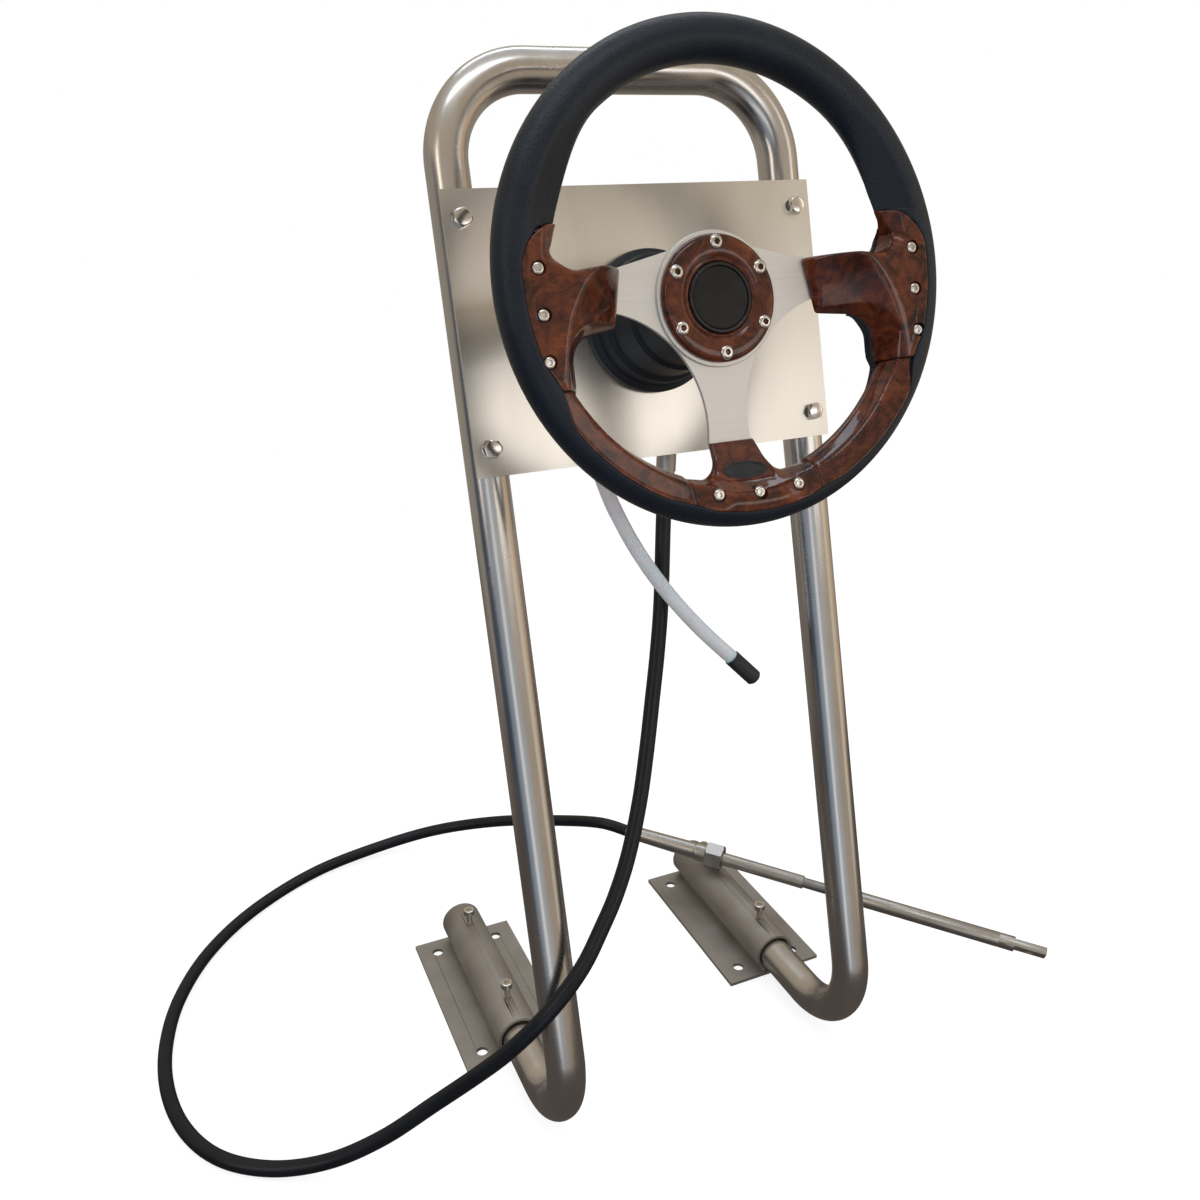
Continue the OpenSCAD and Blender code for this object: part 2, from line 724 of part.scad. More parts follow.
module spent_fitting() {
    color([0.1, 0.1, 0.11]) on_helm() difference() {
        union() {
            spent_outlet(ferrule_d / 2, outlet_foot - 20, outlet_foot);
            spent_outlet(outlet_r - 1, outlet_foot, outlet_foot + spent_fitting_l - 20);
        }
        spent_outlet(groove_r, outlet_foot - 21, spent_start + 1);
    }
}

module spent_tube() {
    color([0.85, 0.9, 0.94]) cord(spent_route, spent_d, 2);
}

module spent_tube_cap() {
    heading = unit(spent_heading);
    pitch = acos(heading[2]);
    turn = atan2(heading[1], heading[0]);
    color([0.07, 0.07, 0.08]) translate(spent_end) rotate([0, pitch, turn]) {
        bar(spent_d / 2 + 0.9, 0, spent_cap_l - 2);
        translate([0, 0, spent_cap_l - 2]) cylinder(r1 = spent_d / 2 + 0.9, r2 = spent_d / 2 - 1, h = 2);
    }
}

module cable_jacket() {
    color([0.06, 0.06, 0.07]) cord(cable_route, cable_d, 2);
}

// Cable output end
module output_tube() {
    color("silver") on_output() difference() {
        bar(guide_d / 2, -output_l, guide_l);
        bar(rod_d / 2 + run_gap, -output_l - 1, guide_l + 1);
    }
}

module ram_rod() {
    color("gray") on_output() bar(rod_d / 2, rod_back, ram_back + ram_tail);
}

module ram_tube() {
    color("silver") on_output() difference() {
        bar(ram_d / 2, ram_back, ram_reach - ram_end_l);
        bar(rod_d / 2 + screw_gap, ram_back - 1, ram_back + ram_tail + eye);
    }
}

module ram_end() {
    color("gray") on_output() difference() {
        union() {
            bar(ram_d / 2 - 0.25, ram_reach - ram_end_l, ram_reach - ram_end_l + 1.5);
            bar(ram_d / 2, ram_reach - ram_end_l + 1.5, ram_reach - 1);
            translate([0, 0, ram_reach - 1]) cylinder(r1 = ram_d / 2, r2 = ram_d / 2 - 1, h = 1);
        }
        rotate([0, 0, 35]) {
            translate([-ram_d, -ram_d / 2 - 1, ram_reach - flat_l]) cube([2 * ram_d, 1 + flat_depth, flat_l + 1]);
            translate([-ram_d, ram_d / 2 - flat_depth, ram_reach - flat_l]) cube([2 * ram_d, 1 + flat_depth, flat_l + 1]);
            translate([0, ram_d, ram_reach - flat_l / 2]) rotate([90, 0, 0]) cylinder(d = ram_hole_d, h = 2 * ram_d);
        }
    }
}

module cable_nut() {
    color("gray") on_output() difference() {
        hex_bar(nut_af, nut_back, nut_front);
        bar(guide_d / 2 + pass_gap, nut_back - 1, nut_front + 1);
        bar(nut_af / 2 - 3, nut_back + 5, nut_front + 1);
    }
}

// Steering wheel
module torus(r) {
    translate([0, rim_rise, rim_mid]) rotate_extrude() translate([rim_r, 0]) circle(r = r);
}

module side_outline() {
    polygon(concat(
        arc([0, rim_rise], wood_r, asin((seam_y - rim_rise) / wood_r), tip_turn),
        arc(tip_c, tip_r, tip_from, tip_to),
        arc(throat_c, throat_r, 0, -100),
        [trim_end_high, trim_end_low],
        arc(crook_c, crook_r, 80, 0),
        [[crook_c[0] + crook_r, seam_y]]));
}

module arc_outline() {
    top = seam_y - seam_gap;
    side = seam_x + seam_gap;
    polygon(concat([[side, top]],
        arc([0, rim_rise], low_wood_r, asin((top - rim_rise) / low_wood_r), -acos(side / low_wood_r))));
}

module lower_outline() {
    half = concat([[lower_end_half, lower_end_y]], arc(lower_fillet_c, lower_fillet_r, 180, 262),
        [[seam_x, lower_fillet_c[1] - lower_fillet_r + 3]]);
    edge = acos(seam_x / low_wood_r);
    polygon(concat(half, arc([0, rim_rise], low_wood_r, -edge, -180 + edge),
        [for (i = [len(half) - 1 : -1 : 0]) [-half[i][0], half[i][1]]]));
}

// The part of the rim that the wooden shells take up
module wood_zone() {
    side_r = wood_r + zone_gap;
    low_r = low_wood_r + zone_gap;
    half = concat(
        arc([0, rim_rise], low_r, -90, asin((seam_y - rim_rise) / low_r), 24),
        arc([0, rim_rise], side_r, asin((seam_y - rim_rise) / side_r), tip_turn),
        arc(tip_c, tip_r + zone_gap, tip_from, tip_to));
    translate([0, 0, shell_back]) linear_extrude(rim_d)
        polygon(concat(half, [for (i = [len(half) - 1 : -1 : 1]) [-half[i][0], half[i][1]]]));
}

// Arms of the spoke plate that rise into the rim
module side_arm(grow) {
    slope = arm_rise / (arm_tip - arm_root);
    translate([0, arm_high + grow, 0]) rotate([90, 0, 0]) linear_extrude(arm_high - arm_low + 2 * grow)
        polygon([[arm_root - 2, spoke_back], [arm_root, spoke_back - grow],
            [arm_tip + grow, spoke_back - grow + arm_rise], [arm_tip + grow, spoke_top + grow + arm_rise],
            [arm_root, spoke_top + grow], [arm_root - 2, spoke_top]]);
}

module lower_arm(grow) {
    rotate([0, 0, -90]) translate([0, lower_arm_half + grow, 0]) rotate([90, 0, 0])
        linear_extrude(2 * (lower_arm_half + grow))
            polygon([[lower_arm_root - 2, spoke_back], [lower_arm_root, spoke_back - grow],
                [lower_arm_tip + grow, spoke_back - grow + lower_arm_rise],
                [lower_arm_tip + grow, spoke_top + grow + lower_arm_rise],
                [lower_arm_root, spoke_top + grow], [lower_arm_root - 2, spoke_top]]);
}

module arms(grow) {
    for (side = [0, 1]) mirror([side, 0, 0]) side_arm(grow);
    lower_arm(grow);
}

module trim_screw_places() {
    for (side = [-1, 1]) for (y = side_screw_y)
        translate([side * side_screw_x, y, trim_top - seat_depth]) children();
    for (p = lower_screws) translate([p[0], p[1], lower_screw_z]) children();
}

module trim_screw_holes(r) {
    trim_screw_places() bar(r, -trim_screw_l - 0.5, rim_d);
}

module trim_seats() {
    trim_screw_places() bar(trim_screw_d * button_d / 2 + seat_play, 0, rim_d);
}

module wheel_rim() {
    color([0.07, 0.08, 0.1]) on_helm() difference() {
        union() {
            difference() {
                torus(rim_d / 2);
                wood_zone();
            }
            torus(sleeve_r);
        }
        torus(rim_core_d / 2 + screw_gap);
        arms(eye);
        trim_screw_holes(trim_screw_d / 2 + screw_gap);
        trim_seats();
    }
}

module rim_core() {
    color("dimgray") on_helm() difference() {
        torus(rim_core_d / 2);
        arms(eye);
        trim_screw_holes(trim_screw_d / 2 + screw_gap);
    }
}

module spoke_outline() {
    circle(r = hub_disc_r);
    difference() {
        polygon([[-arm_root, 22.6], [-31, 35.5], [31, 35.5], [arm_root, 22.6],
            [arm_root, -lower_arm_root], [-arm_root, -lower_arm_root]]);
        for (side = [-1, 1]) translate([side * opening_c[0], opening_c[1]]) circle(r = opening_r);
    }
}

module spoke_plate() {
    color("gainsboro") on_helm() difference() {
        union() {
            translate([0, 0, spoke_back]) linear_extrude(spoke_t) spoke_outline();
            arms(0);
        }
        bar(nut_pocket_r, spoke_back - 1, spoke_top + 1);
        hub_screw_places() bar(hub_screw_d / 2 + 0.2, spoke_back - 1, spoke_top + 1);
        trim_screw_holes(trim_screw_d / 2 + screw_gap);
    }
}

module side_trim() {
    slope = arm_rise / (arm_tip - arm_root);
    bend = trim_r - 25;
    difference() {
        intersection() {
            translate([0, 0, spoke_top]) linear_extrude(trim_top - spoke_top) side_outline();
            translate([0, rim_r, 0]) rotate([90, 0, 0]) linear_extrude(2 * rim_r)
                polygon([[0, spoke_top + eye], [arm_root, spoke_top + eye],
                    [bend, spoke_top + 2 * eye + (bend - arm_root) * slope], [bend, shell_back],
                    [2 * rim_r, shell_back], [2 * rim_r, 2 * rim_front], [0, 2 * rim_front]]);
        }
        translate([crease_from[0], crease_from[1], trim_top]) rotate([0, 0, crease_turn])
            rotate([crease_slope, 0, 0]) translate([-rim_r, -rim_r, 0]) cube([2 * rim_r, rim_r, rim_r]);
        torus(sleeve_r + eye);
        side_arm(2 * eye);
        trim_screw_holes(trim_screw_d / 2 + 0.2);
        trim_seats();
    }
}
module trim_left() { color([0.36, 0.17, 0.1]) on_helm() mirror([1, 0, 0]) side_trim(); }
module trim_right() { color([0.36, 0.17, 0.1]) on_helm() side_trim(); }

module on_lower_slope() {
    translate([0, lower_end_y, lower_end_z]) rotate([-lower_slope, 0, 0]) children();
}

module badge_outline(grow) {
    polygon([for (a = [0 : 10 : 350]) [(badge_half[0] + grow) * cos(a), (badge_half[1] + grow) * sin(a)]]);
}

module at_badge() {
    on_lower_slope() translate([0, (badge_y - lower_end_y) / cos(lower_slope), badge_proud - badge_t]) children();
}

module trim_bottom() {
    slope = lower_arm_rise / (lower_arm_tip - lower_arm_root);
    bend = rim_r - rim_rise - 18;
    far = rim_r - rim_rise - 6;
    near = -lower_end_y - 1;
    color([0.36, 0.17, 0.1]) on_helm() difference() {
        union() {
            intersection() {
                translate([0, 0, spoke_top]) linear_extrude(rim_d) lower_outline();
                rotate([0, 0, -90]) translate([0, rim_r, 0]) rotate([90, 0, 0]) linear_extrude(2 * rim_r)
                    polygon([[near, spoke_top + eye], [lower_arm_root, spoke_top + eye],
                        [bend, spoke_top + 2 * eye + (bend - lower_arm_root) * slope], [bend, shell_back],
                        [far, shell_back], [far, lower_slope_z(far)], [near, lower_slope_z(near)]]);
            }
            intersection() {
                translate([0, 0, shell_back]) linear_extrude(rim_d) lower_outline();
                torus(rim_d / 2);
            }
        }
        torus(sleeve_r + eye);
        lower_arm(2 * eye);
        trim_screw_holes(trim_screw_d / 2 + 0.2);
        trim_seats();
        at_badge() linear_extrude(rim_d) badge_outline(eye);
    }
}

module arc_trim() {
    difference() {
        intersection() {
            torus(rim_d / 2);
            translate([0, 0, shell_back]) linear_extrude(rim_d) arc_outline();
        }
        torus(sleeve_r + eye);
    }
}
module arc_trim_left() { color([0.36, 0.17, 0.1]) on_helm() mirror([1, 0, 0]) arc_trim(); }
module arc_trim_right() { color([0.36, 0.17, 0.1]) on_helm() arc_trim(); }

// A button head screw with its head's underside at zero
module button_screw(d, length) {
    difference() {
        union() {
            bar(d / 2, -length, 0.5);
            rotate_extrude() polygon([[0, 0], [d * button_d / 2, 0], [d * button_d / 2, 0.2 * d * button_h],
                [d * button_d * 0.36, 0.8 * d * button_h], [d * button_d * 0.22, d * button_h], [0, d * button_h]]);
        }
        hex_bar(0.55 * d, d * button_h / 2, 2 * d);
    }
}

module trim_screws() {
    color("silver") on_helm() trim_screw_places() button_screw(trim_screw_d, trim_screw_l);
}

module hub_screw_places() {
    for (i = [0 : hub_screw_n - 1]) rotate([0, 0, 90 + 360 * i / hub_screw_n])
        translate([hub_pcd / 2, 0, 0]) children();
}

module hub_ring() {
    outer = hub_ring_d / 2;
    inner = hub_open_d / 2;
    color([0.36, 0.17, 0.1]) on_helm() difference() {
        rotate_extrude() polygon([[inner, spoke_top], [outer, spoke_top], [outer, hub_ring_front - 3.5],
            [outer - 1.5, hub_ring_front - 1], [outer - 4, hub_ring_front], [inner + 5, hub_ring_front],
            [inner + 3, hub_ring_front - 1], [inner + 1.5, hub_ring_front - 3], [inner, hub_ring_front - 3]]);
        hub_screw_places() bar(hub_screw_d / 2 + 0.2, spoke_top - 1, hub_ring_front + 1);
        hub_screw_places() bar(hub_screw_d * button_d / 2 + 0.3, hub_ring_front - 0.8, hub_ring_front + 5);
    }
}

module hub_screws() {
    color("silver") on_helm() hub_screw_places() translate([0, 0, hub_ring_front - 0.8])
        button_screw(hub_screw_d, hub_ring_front - 0.8 - hub_flange_back - 0.5);
}

module cap_ring() {
    outer = hub_open_d / 2 - eye;
    color([0.05, 0.05, 0.06]) on_helm() rotate_extrude()
        polygon([[cap_r, spoke_top], [outer, spoke_top], [outer, hub_ring_front - 1.5],
            [outer - 1, hub_ring_front], [cap_r + 0.5, hub_ring_front], [cap_r, hub_ring_front - 0.5]]);
}

module centre_cap() {
    rim_gap = eye;
    color([0.17, 0.165, 0.155]) on_helm() rotate_extrude()
        polygon([[0, hub_ring_front - 3.5], [cap_r - rim_gap, hub_ring_front - 3.5],
            [cap_r - rim_gap, hub_ring_front - 1.2], [cap_r - 1, hub_ring_front - 0.6],
            [cap_r / 2, hub_ring_front - 0.2], [0, hub_ring_front]]);
}

module badge() {
    color([0.1, 0.105, 0.11]) on_helm() at_badge() linear_extrude(badge_t) badge_outline(0);
}

// Wheel hub, shaft and sun gear
key_w = 5;
key_from = 72;
key_to = 88;
key_low = shaft_r - 4;
key_high = shaft_r + 2;
module key_shape(grow) {
    translate([key_low - grow, -key_w / 2 - grow, key_from - grow])
        cube([key_high - key_low + 2 * grow, key_w + 2 * grow, key_to - key_from + 2 * grow]);
}

module shaft_shape(grow) {
    rotate_extrude() polygon([[0, cover_back + 3.5], [journal_r + grow, cover_back + 3.5],
        [journal_r + grow, gear_front + 1], [shaft_r + grow, gear_front + 1], [shaft_r + grow, hub_boss_back],
        [taper_front_r + grow, taper_front], [thread_r + grow, taper_front], [thread_r + grow, shaft_front],
        [0, shaft_front]]);
}

module hub_adapter() {
    color("gray") on_helm() difference() {
        union() {
            bar(hub_boss_r, hub_boss_back, hub_flange_back);
            translate([0, 0, bezel_h + 1]) cylinder(r1 = hub_boss_r, r2 = hub_neck_r, h = hub_neck_back - bezel_h - 1);
            bar(hub_neck_r, hub_neck_back, spoke_back);
            bar(hub_flange_r, hub_flange_back, spoke_back);
        }
        shaft_shape(screw_gap);
        bar(nut_pocket_r, taper_front + 4, spoke_back + 1);
        key_shape(screw_gap);
        hub_screw_places() bar(hub_screw_d / 2 + screw_gap, hub_flange_back - 1, spoke_back + 1);
    }
}

module helm_shaft() {
    color("silver") on_helm() difference() {
        shaft_shape(0);
        key_shape(screw_gap);
    }
}

module shaft_key() {
    color("gray") on_helm() key_shape(0);
}

module shaft_washer() {
    color("silver") on_helm() ring(thread_r + 8, thread_r + 0.2, taper_front + 4, taper_front + 6);
}

module shaft_nut() {
    color("silver") on_helm() difference() {
        hex_bar(2 * thread_r + 9, taper_front + 6, taper_front + 15);
        bar(thread_r + screw_gap, taper_front + 5, taper_front + 16);
    }
}

module sun_gear() {
    color("gray") on_helm() difference() {
        translate([0, 0, gear_back]) linear_extrude(gear_w) rotate([0, 0, 90])
            polygon(gear_points(sun_teeth, sun_pitch_r, sun_pitch_r + addendum, sun_pitch_r - dedendum, backlash / 2));
        bar(journal_r + screw_gap, gear_back - 1, gear_front + 1);
    }
}

// Drum and planets
module planet_places() {
    for (i = [0 : 2]) rotate([0, 0, 90 + 120 * i]) translate([planet_orbit, 0, 0]) children();
}

module cable_drum() {
    color("darkslategray") on_helm() difference() {
        bar(drum_flange_r, drum_back, drum_front);
        bar(shaft_r + run_gap, drum_back - 1, drum_front + 1);
        translate([0, 0, -cable_plane]) rotate_extrude() {
            translate([drum_pitch_r, 0]) circle(r = groove_r);
            translate([drum_pitch_r, -groove_r]) square([drum_flange_r, 2 * groove_r]);
        }
        planet_places() bar(pin_d / 2 + screw_gap, drum_back - 1, -cable_plane);
    }
}

module planet_pins() {
    color("silver") on_helm() planet_places() {
        bar(pin_d / 2, gear_back - pass_gap, -cable_plane);
        bar(pin_d / 2 + 1.5, pin_head_back, gear_back - pass_gap);
    }
}

module planet(i) {
    color("gray") on_helm() rotate([0, 0, 90 + 120 * i]) translate([planet_orbit, 0, 0]) difference() {
        translate([0, 0, gear_back]) linear_extrude(gear_w)
            polygon(gear_points(planet_teeth, planet_pitch_r, planet_pitch_r + addendum,
                planet_pitch_r - dedendum, backlash / 2));
        bar(pin_d / 2 + run_gap, gear_back - 1, gear_front + 1);
    }
}
module planet_1() { planet(0); }
module planet_2() { planet(1); }
module planet_3() { planet(2); }

stand_tube();
base_plate_left();
base_plate_right();
socket_left();
socket_right();
set_screws();
helm_plate();
plate_bolts();
plate_nuts();
helm_bezel();
helm_case();
case_bolts();
case_cover();
cover_screws();
ring_gear();
front_bush();
rear_bush();
shaft_seal();
cable_core();
cable_ferrule();
ferrule_pin();
spent_fitting();
spent_tube();
spent_tube_cap();
cable_jacket();
output_tube();
wheel_rim();
rim_core();
spoke_plate();
trim_left();
trim_right();
trim_bottom();
arc_trim_left();
arc_trim_right();
trim_screws();
hub_ring();
hub_screws();
cap_ring();
centre_cap();
badge();
hub_adapter();
helm_shaft();
sun_gear();
shaft_key();
shaft_washer();
shaft_nut();
cable_drum();
planet_pins();
planet_1();
planet_2();
planet_3();
ram_rod();
ram_tube();
ram_end();
cable_nut();
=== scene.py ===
"""Looks of a boat steering helm on a bent tube stand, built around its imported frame.

The frame is in metres, with X to the right, Y to the back and Z up. Pieces are drawn in millimetres,
most of them in the helm's own frame: x to the right, y up along the plate, z forward along the shaft.
"""
import json
import math

import bmesh
import bpy
import numpy as np
from mathutils import Matrix, Vector, geometry


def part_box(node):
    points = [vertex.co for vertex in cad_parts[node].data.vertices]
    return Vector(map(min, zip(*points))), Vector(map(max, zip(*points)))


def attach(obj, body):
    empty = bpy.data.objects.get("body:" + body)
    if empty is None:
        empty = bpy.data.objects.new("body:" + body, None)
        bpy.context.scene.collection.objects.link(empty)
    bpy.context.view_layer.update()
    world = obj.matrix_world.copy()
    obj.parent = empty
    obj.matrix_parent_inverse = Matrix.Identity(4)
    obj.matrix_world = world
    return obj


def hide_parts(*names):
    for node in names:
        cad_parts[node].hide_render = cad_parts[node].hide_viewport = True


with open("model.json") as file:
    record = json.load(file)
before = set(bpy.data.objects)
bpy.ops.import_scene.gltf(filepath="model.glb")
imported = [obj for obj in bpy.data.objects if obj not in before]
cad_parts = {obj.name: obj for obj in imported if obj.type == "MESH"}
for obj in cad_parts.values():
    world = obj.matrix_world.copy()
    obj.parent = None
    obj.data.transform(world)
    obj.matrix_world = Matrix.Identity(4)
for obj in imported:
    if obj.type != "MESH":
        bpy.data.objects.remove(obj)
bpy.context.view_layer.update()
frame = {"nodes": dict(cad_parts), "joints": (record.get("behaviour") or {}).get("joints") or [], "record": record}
nodes = frame["nodes"]
scene = bpy.context.scene
scene.view_settings.view_transform = "Standard"

MM = 0.001
WORLD = Matrix.Identity(4)


def joint_frame(name):
    """The frame of a joint: z along its axis, x level."""
    joint = next(joint for joint in frame["joints"] if joint["name"] == name)
    z = Vector(joint["axis"]).normalized()
    x = Vector((0, 0, 1)).cross(z).normalized()
    place = Matrix((x, z.cross(x), z)).transposed().to_4x4()
    place.translation = Vector(joint["pos_m"])
    return place


HELM = joint_frame("wheel_turn")
HELM_TURN = (math.atan2(HELM[2][1], HELM[1][1]), 0.0, 0.0)
OUTPUT = joint_frame("nut_spin")

# Stand
TUBE_R = 16.85
TUBE_WALL = 2.0
LEG_X = 145.0
FOOT_BACK = 83.0
FOOT_FRONT = -245.0
FOOT_Z = 23.35
LEG_LENGTH = 885.0
LEG_LEAN = math.radians(14.25)
BEND_R = 70.0
BEND_STEPS = 28
SET_HEAD_R = 5.8
SET_HEAD_H = 6.0
SET_SHANK_R = 3.0
SET_CAD_R = 5.0
SET_TURN = 13

# Wheel, in the helm's frame
RIM_MID = 131.5
RIM_R = 155.5
RIM_SECTION = 15.5
RIM_RISE = 11.0
RECESS_R = 12.1
SHELL_BACK = 122.0
WOOD_R = 155.5
LOW_WOOD_R = 160.5
SPOKE_TOP = 109.0
SEAM_X = 50.0
SEAM_Y = -55.0
SEAM_GAP = 0.3
TIP_C = (123.5, 18.3)
TIP_R = 32.0
TIP_FROM = 15.0
TIP_TO = 88.0
TIP_END = 17.5
TIP_TURN = 5.7
THROAT_C = (117.5, 34.0)
THROAT_R = 14.0
CROOK_C = (99.5, -38.0)
CROOK_R = 20.0
LUG_HIGH = (73.0, 25.0)
LUG_LOW = (81.0, -15.0)
LUG_HIGH_C = (76.75, 21.57)
LUG_LOW_C = (83.53, -12.35)
LUG_CORNER_R = 3.0
SIDE_SCREWS = [(144.0, 22.0), (144.0, -7.0), (144.0, -36.5)]
SIDE_SEAT = 143.5
LOWER_SCREWS = [(-32.0, -135.0), (0.0, -137.0), (32.0, -135.0)]
LOWER_SEAT = 142.56
TRIM_SCREW_TURN = 23
SEAT_R = 5.0
HUB_DISC_R = 47.4
HUB_DISC_TOP = 111.2
HUB_DISC_BACK = 108.5
HUB_DISC_BORE = 24.9
HUB_SCREW_CIRCLE = 38.0
HUB_SCREW_SEAT = 116.2
HUB_SCREW_TURN = 17
HUB_RING_R = 44.5
HUB_RING_BORE = 25.05
HUB_RING_FRONT = 117.0
HUB_RING_ROUND = 4.5
HUB_COUNT = 160
LOWER_END_Y = -100.0
LOWER_END_HALF = 17.5
LOWER_END_Z = 112.0
LOWER_SLOPE = 0.682
BADGE_Y = -121.0
BADGE_HALF = (17.5, 7.3)

# Plate bolts, in the helm's frame
BOLT_X = 145.0
BOLT_Y = 85.5
BOLT_R = 4.0
BOLT_AF = 13.0
BOLT_HEAD = 5.28
BOLT_TAIL = -46.1
BOLT_TURN = 15
BOLT_TURN_SIDE = 11
BOLT_TURN_UP = 17

# Output end of the cable, along the nut's axis
OUTPUT_BACK = -106.0
OUTPUT_BACK_R = 8.0
OUTPUT_MID = -55.0
OUTPUT_MID_R = 9.0
OUTPUT_FRONT_R = 9.6
OUTPUT_BORE_R = 5.9
COLLAR_L = 12.0
COLLAR_R = 10.4
COLLAR_RISE = 2.0
GUIDE_END = 108.0
GUIDE_R = 7.4
NUT_BACK = -7.2
NUT_FRONT = 13.2
NUT_AF = 27.4
NUT_PLAY = 0.3
NUT_MOUTH_R = 10.1
NUT_MOUTH_L = 12.0
NUT_TURN = 18.0

# Cords
CABLE_D = 13.5
SPENT_D = 12.7
CABLE_ROUTE = [
    (20.96, -81.72, 564.31), (14.02, -91.41, 526.13), (3, -109, 460), (-7, -122, 419), (-19, -136, 380),
    (-33, -153, 341), (-48, -170, 305), (-67, -188, 269), (-87, -204, 243), (-107, -217, 223),
    (-125, -228, 207), (-143, -235, 193), (-161, -237, 177), (-178, -233, 158), (-197, -225, 136),
    (-219, -213, 112), (-252, -196, 80), (-297, -178, 43), (-342, -159, 18), (-388, -137, 8),
    (-428, -106, 7), (-454, -61, 7), (-466, -5, 7), (-464, 55, 7), (-447, 120, 7), (-411, 185, 7),
    (-356, 240, 7), (-282, 283, 7), (-206, 297, 11), (-125, 288, 22), (-52, 245, 41), (8, 185, 61),
    (44.27, 136.73, 76.12), (68.90, 112.10, 72.70)]
SPENT_ROUTE = [
    (-42, -70.62, 608.01), (-42, -76.77, 583.78), (-34, -84, 552), (-26, -94, 528), (-17, -105, 506),
    (-5, -117, 483), (10, -129, 460), (28, -140, 437), (51, -150, 412)]


def make_camera():
    """The camera at the photograph's place and angle."""
    data = bpy.data.cameras.new("view")
    data.sensor_width = 36
    data.lens = 32.37
    data.shift_x = 0.0047
    data.shift_y = -0.0038
    camera = bpy.data.objects.new("view", data)
    forward = Vector((0.36264, 0.85824, -0.36321)).normalized()
    right = forward.cross(Vector((0.16240, 0.32558, 0.93146))).normalized()
    camera.matrix_world = Matrix((right, right.cross(forward), -forward)).transposed().to_4x4()
    camera.location = (-0.3896, -0.8895, 0.8052)
    scene.collection.objects.link(camera)
    scene.camera = camera


# Materials

def fill(tree, node, sockets):
    """Values or links on a shader node's sockets."""
    for name, value in sockets.items():
        if isinstance(value, bpy.types.NodeSocket):
            tree.links.new(value, node.inputs[name])
        else:
            node.inputs[name].default_value = value


def add(tree, kind, sockets=None, **settings):
    """A shader node with its settings, and with values or links on its sockets."""
    node = tree.nodes.new("ShaderNode" + kind)
    for name, value in settings.items():
        setattr(node, name, value)
    fill(tree, node, sockets or {})
    return node


def noise(tree, size, turn=(0.0, 0.0, 0.0), detail=3.0, distortion=0.0):
    """Noise with a grain of one size in metres, or of one for each axis of a turned frame."""
    place = add(tree, "TexCoord").outputs["Object"]
    sizes = size if isinstance(size, tuple) else (size, size, size)
    scaled = add(tree, "Mapping", {"Vector": place, "Rotation": turn, "Scale": sizes}, vector_type="TEXTURE")
    return add(tree, "TexNoise", {"Vector": scaled.outputs["Vector"], "Scale": 1.0, "Detail": detail,
                                  "Distortion": distortion}).outputs["Fac"]


def ramp(tree, factor, stops):
    """A colour ramp with stops of position and colour."""
    node = add(tree, "ValToRGB", {"Fac": factor})
    elements = node.color_ramp.elements
    while len(elements) < len(stops):
        elements.new(0.5)
    for element, (position, colour) in zip(elements, stops):
        element.position = position
        element.color = (*colour, 1.0)
    return node.outputs["Color"]


def spread(tree, factor, low, high):
    """A noise value stretched to run from low to high."""
    return add(tree, "MapRange", {"Value": factor, "From Min": 0.3, "From Max": 0.7,
                                  "To Min": low, "To Max": high}).outputs["Result"]


def blend(tree, share, first, second):
    """Two noise values mixed by a share of the second."""
    return add(tree, "Mix", {"Factor": share, "A": first, "B": second}, data_type="FLOAT").outputs["Result"]


materials = {}


def new_material(name):
    """A material kept by its name: its node tree and its shader."""
    material = bpy.data.materials.new(name)
    material.use_nodes = True
    materials[name] = material
    return material.node_tree, material.node_tree.nodes["Principled BSDF"]


def finish(name, dark, light, rough, fine, broad, depth, turn=(0.0, 0.0, 0.0), speckle=0.4, metal=0.0,
           specular=0.5, subsurface=0.0):
    """A surface in two tones: broad clouds, a fine grain and a relief of the given depth in metres."""
    tree, shader = new_material(name)
    grain = noise(tree, fine, turn)
    cloud = noise(tree, broad, turn, 4.0)
    both = blend(tree, speckle, cloud, grain)
    relief = add(tree, "Bump", {"Height": grain, "Distance": depth, "Strength": 1.0})
    fill(tree, shader, {"Base Color": ramp(tree, both, [(0.34, dark), (0.66, light)]),
                        "Roughness": spread(tree, both, *rough), "Normal": relief.outputs["Normal"],
                        "Metallic": metal, "Specular IOR Level": specular, "Subsurface Weight": subsurface})


def make_burl_wood():
    """Dark lacquered burl, with swirled figure, dark clouds and fine flecks."""
    tree, shader = new_material("burl_wood")
    swirl = noise(tree, (0.021, 0.021, 0.03), HELM_TURN, 5.0, 2.4)
    cloud = noise(tree, (0.05, 0.04, 0.05), HELM_TURN, 2.0, 0.8)
    fleck = noise(tree, (0.0022, 0.0009, 0.002), HELM_TURN, 4.0, 0.6)
    figure = blend(tree, 0.22, blend(tree, 0.42, swirl, cloud), fleck)
    stops = [(0.33, (0.010, 0.0025, 0.002)), (0.43, (0.045, 0.009, 0.004)), (0.51, (0.10, 0.0205, 0.0065)),
             (0.59, (0.155, 0.0345, 0.009)), (0.68, (0.225, 0.06, 0.014))]
    fill(tree, shader, {"Base Color": ramp(tree, figure, stops), "Roughness": spread(tree, fleck, 0.3, 0.42),
                        "Specular IOR Level": 0.1, "Coat Weight": 0.8, "Coat Roughness": 0.04})


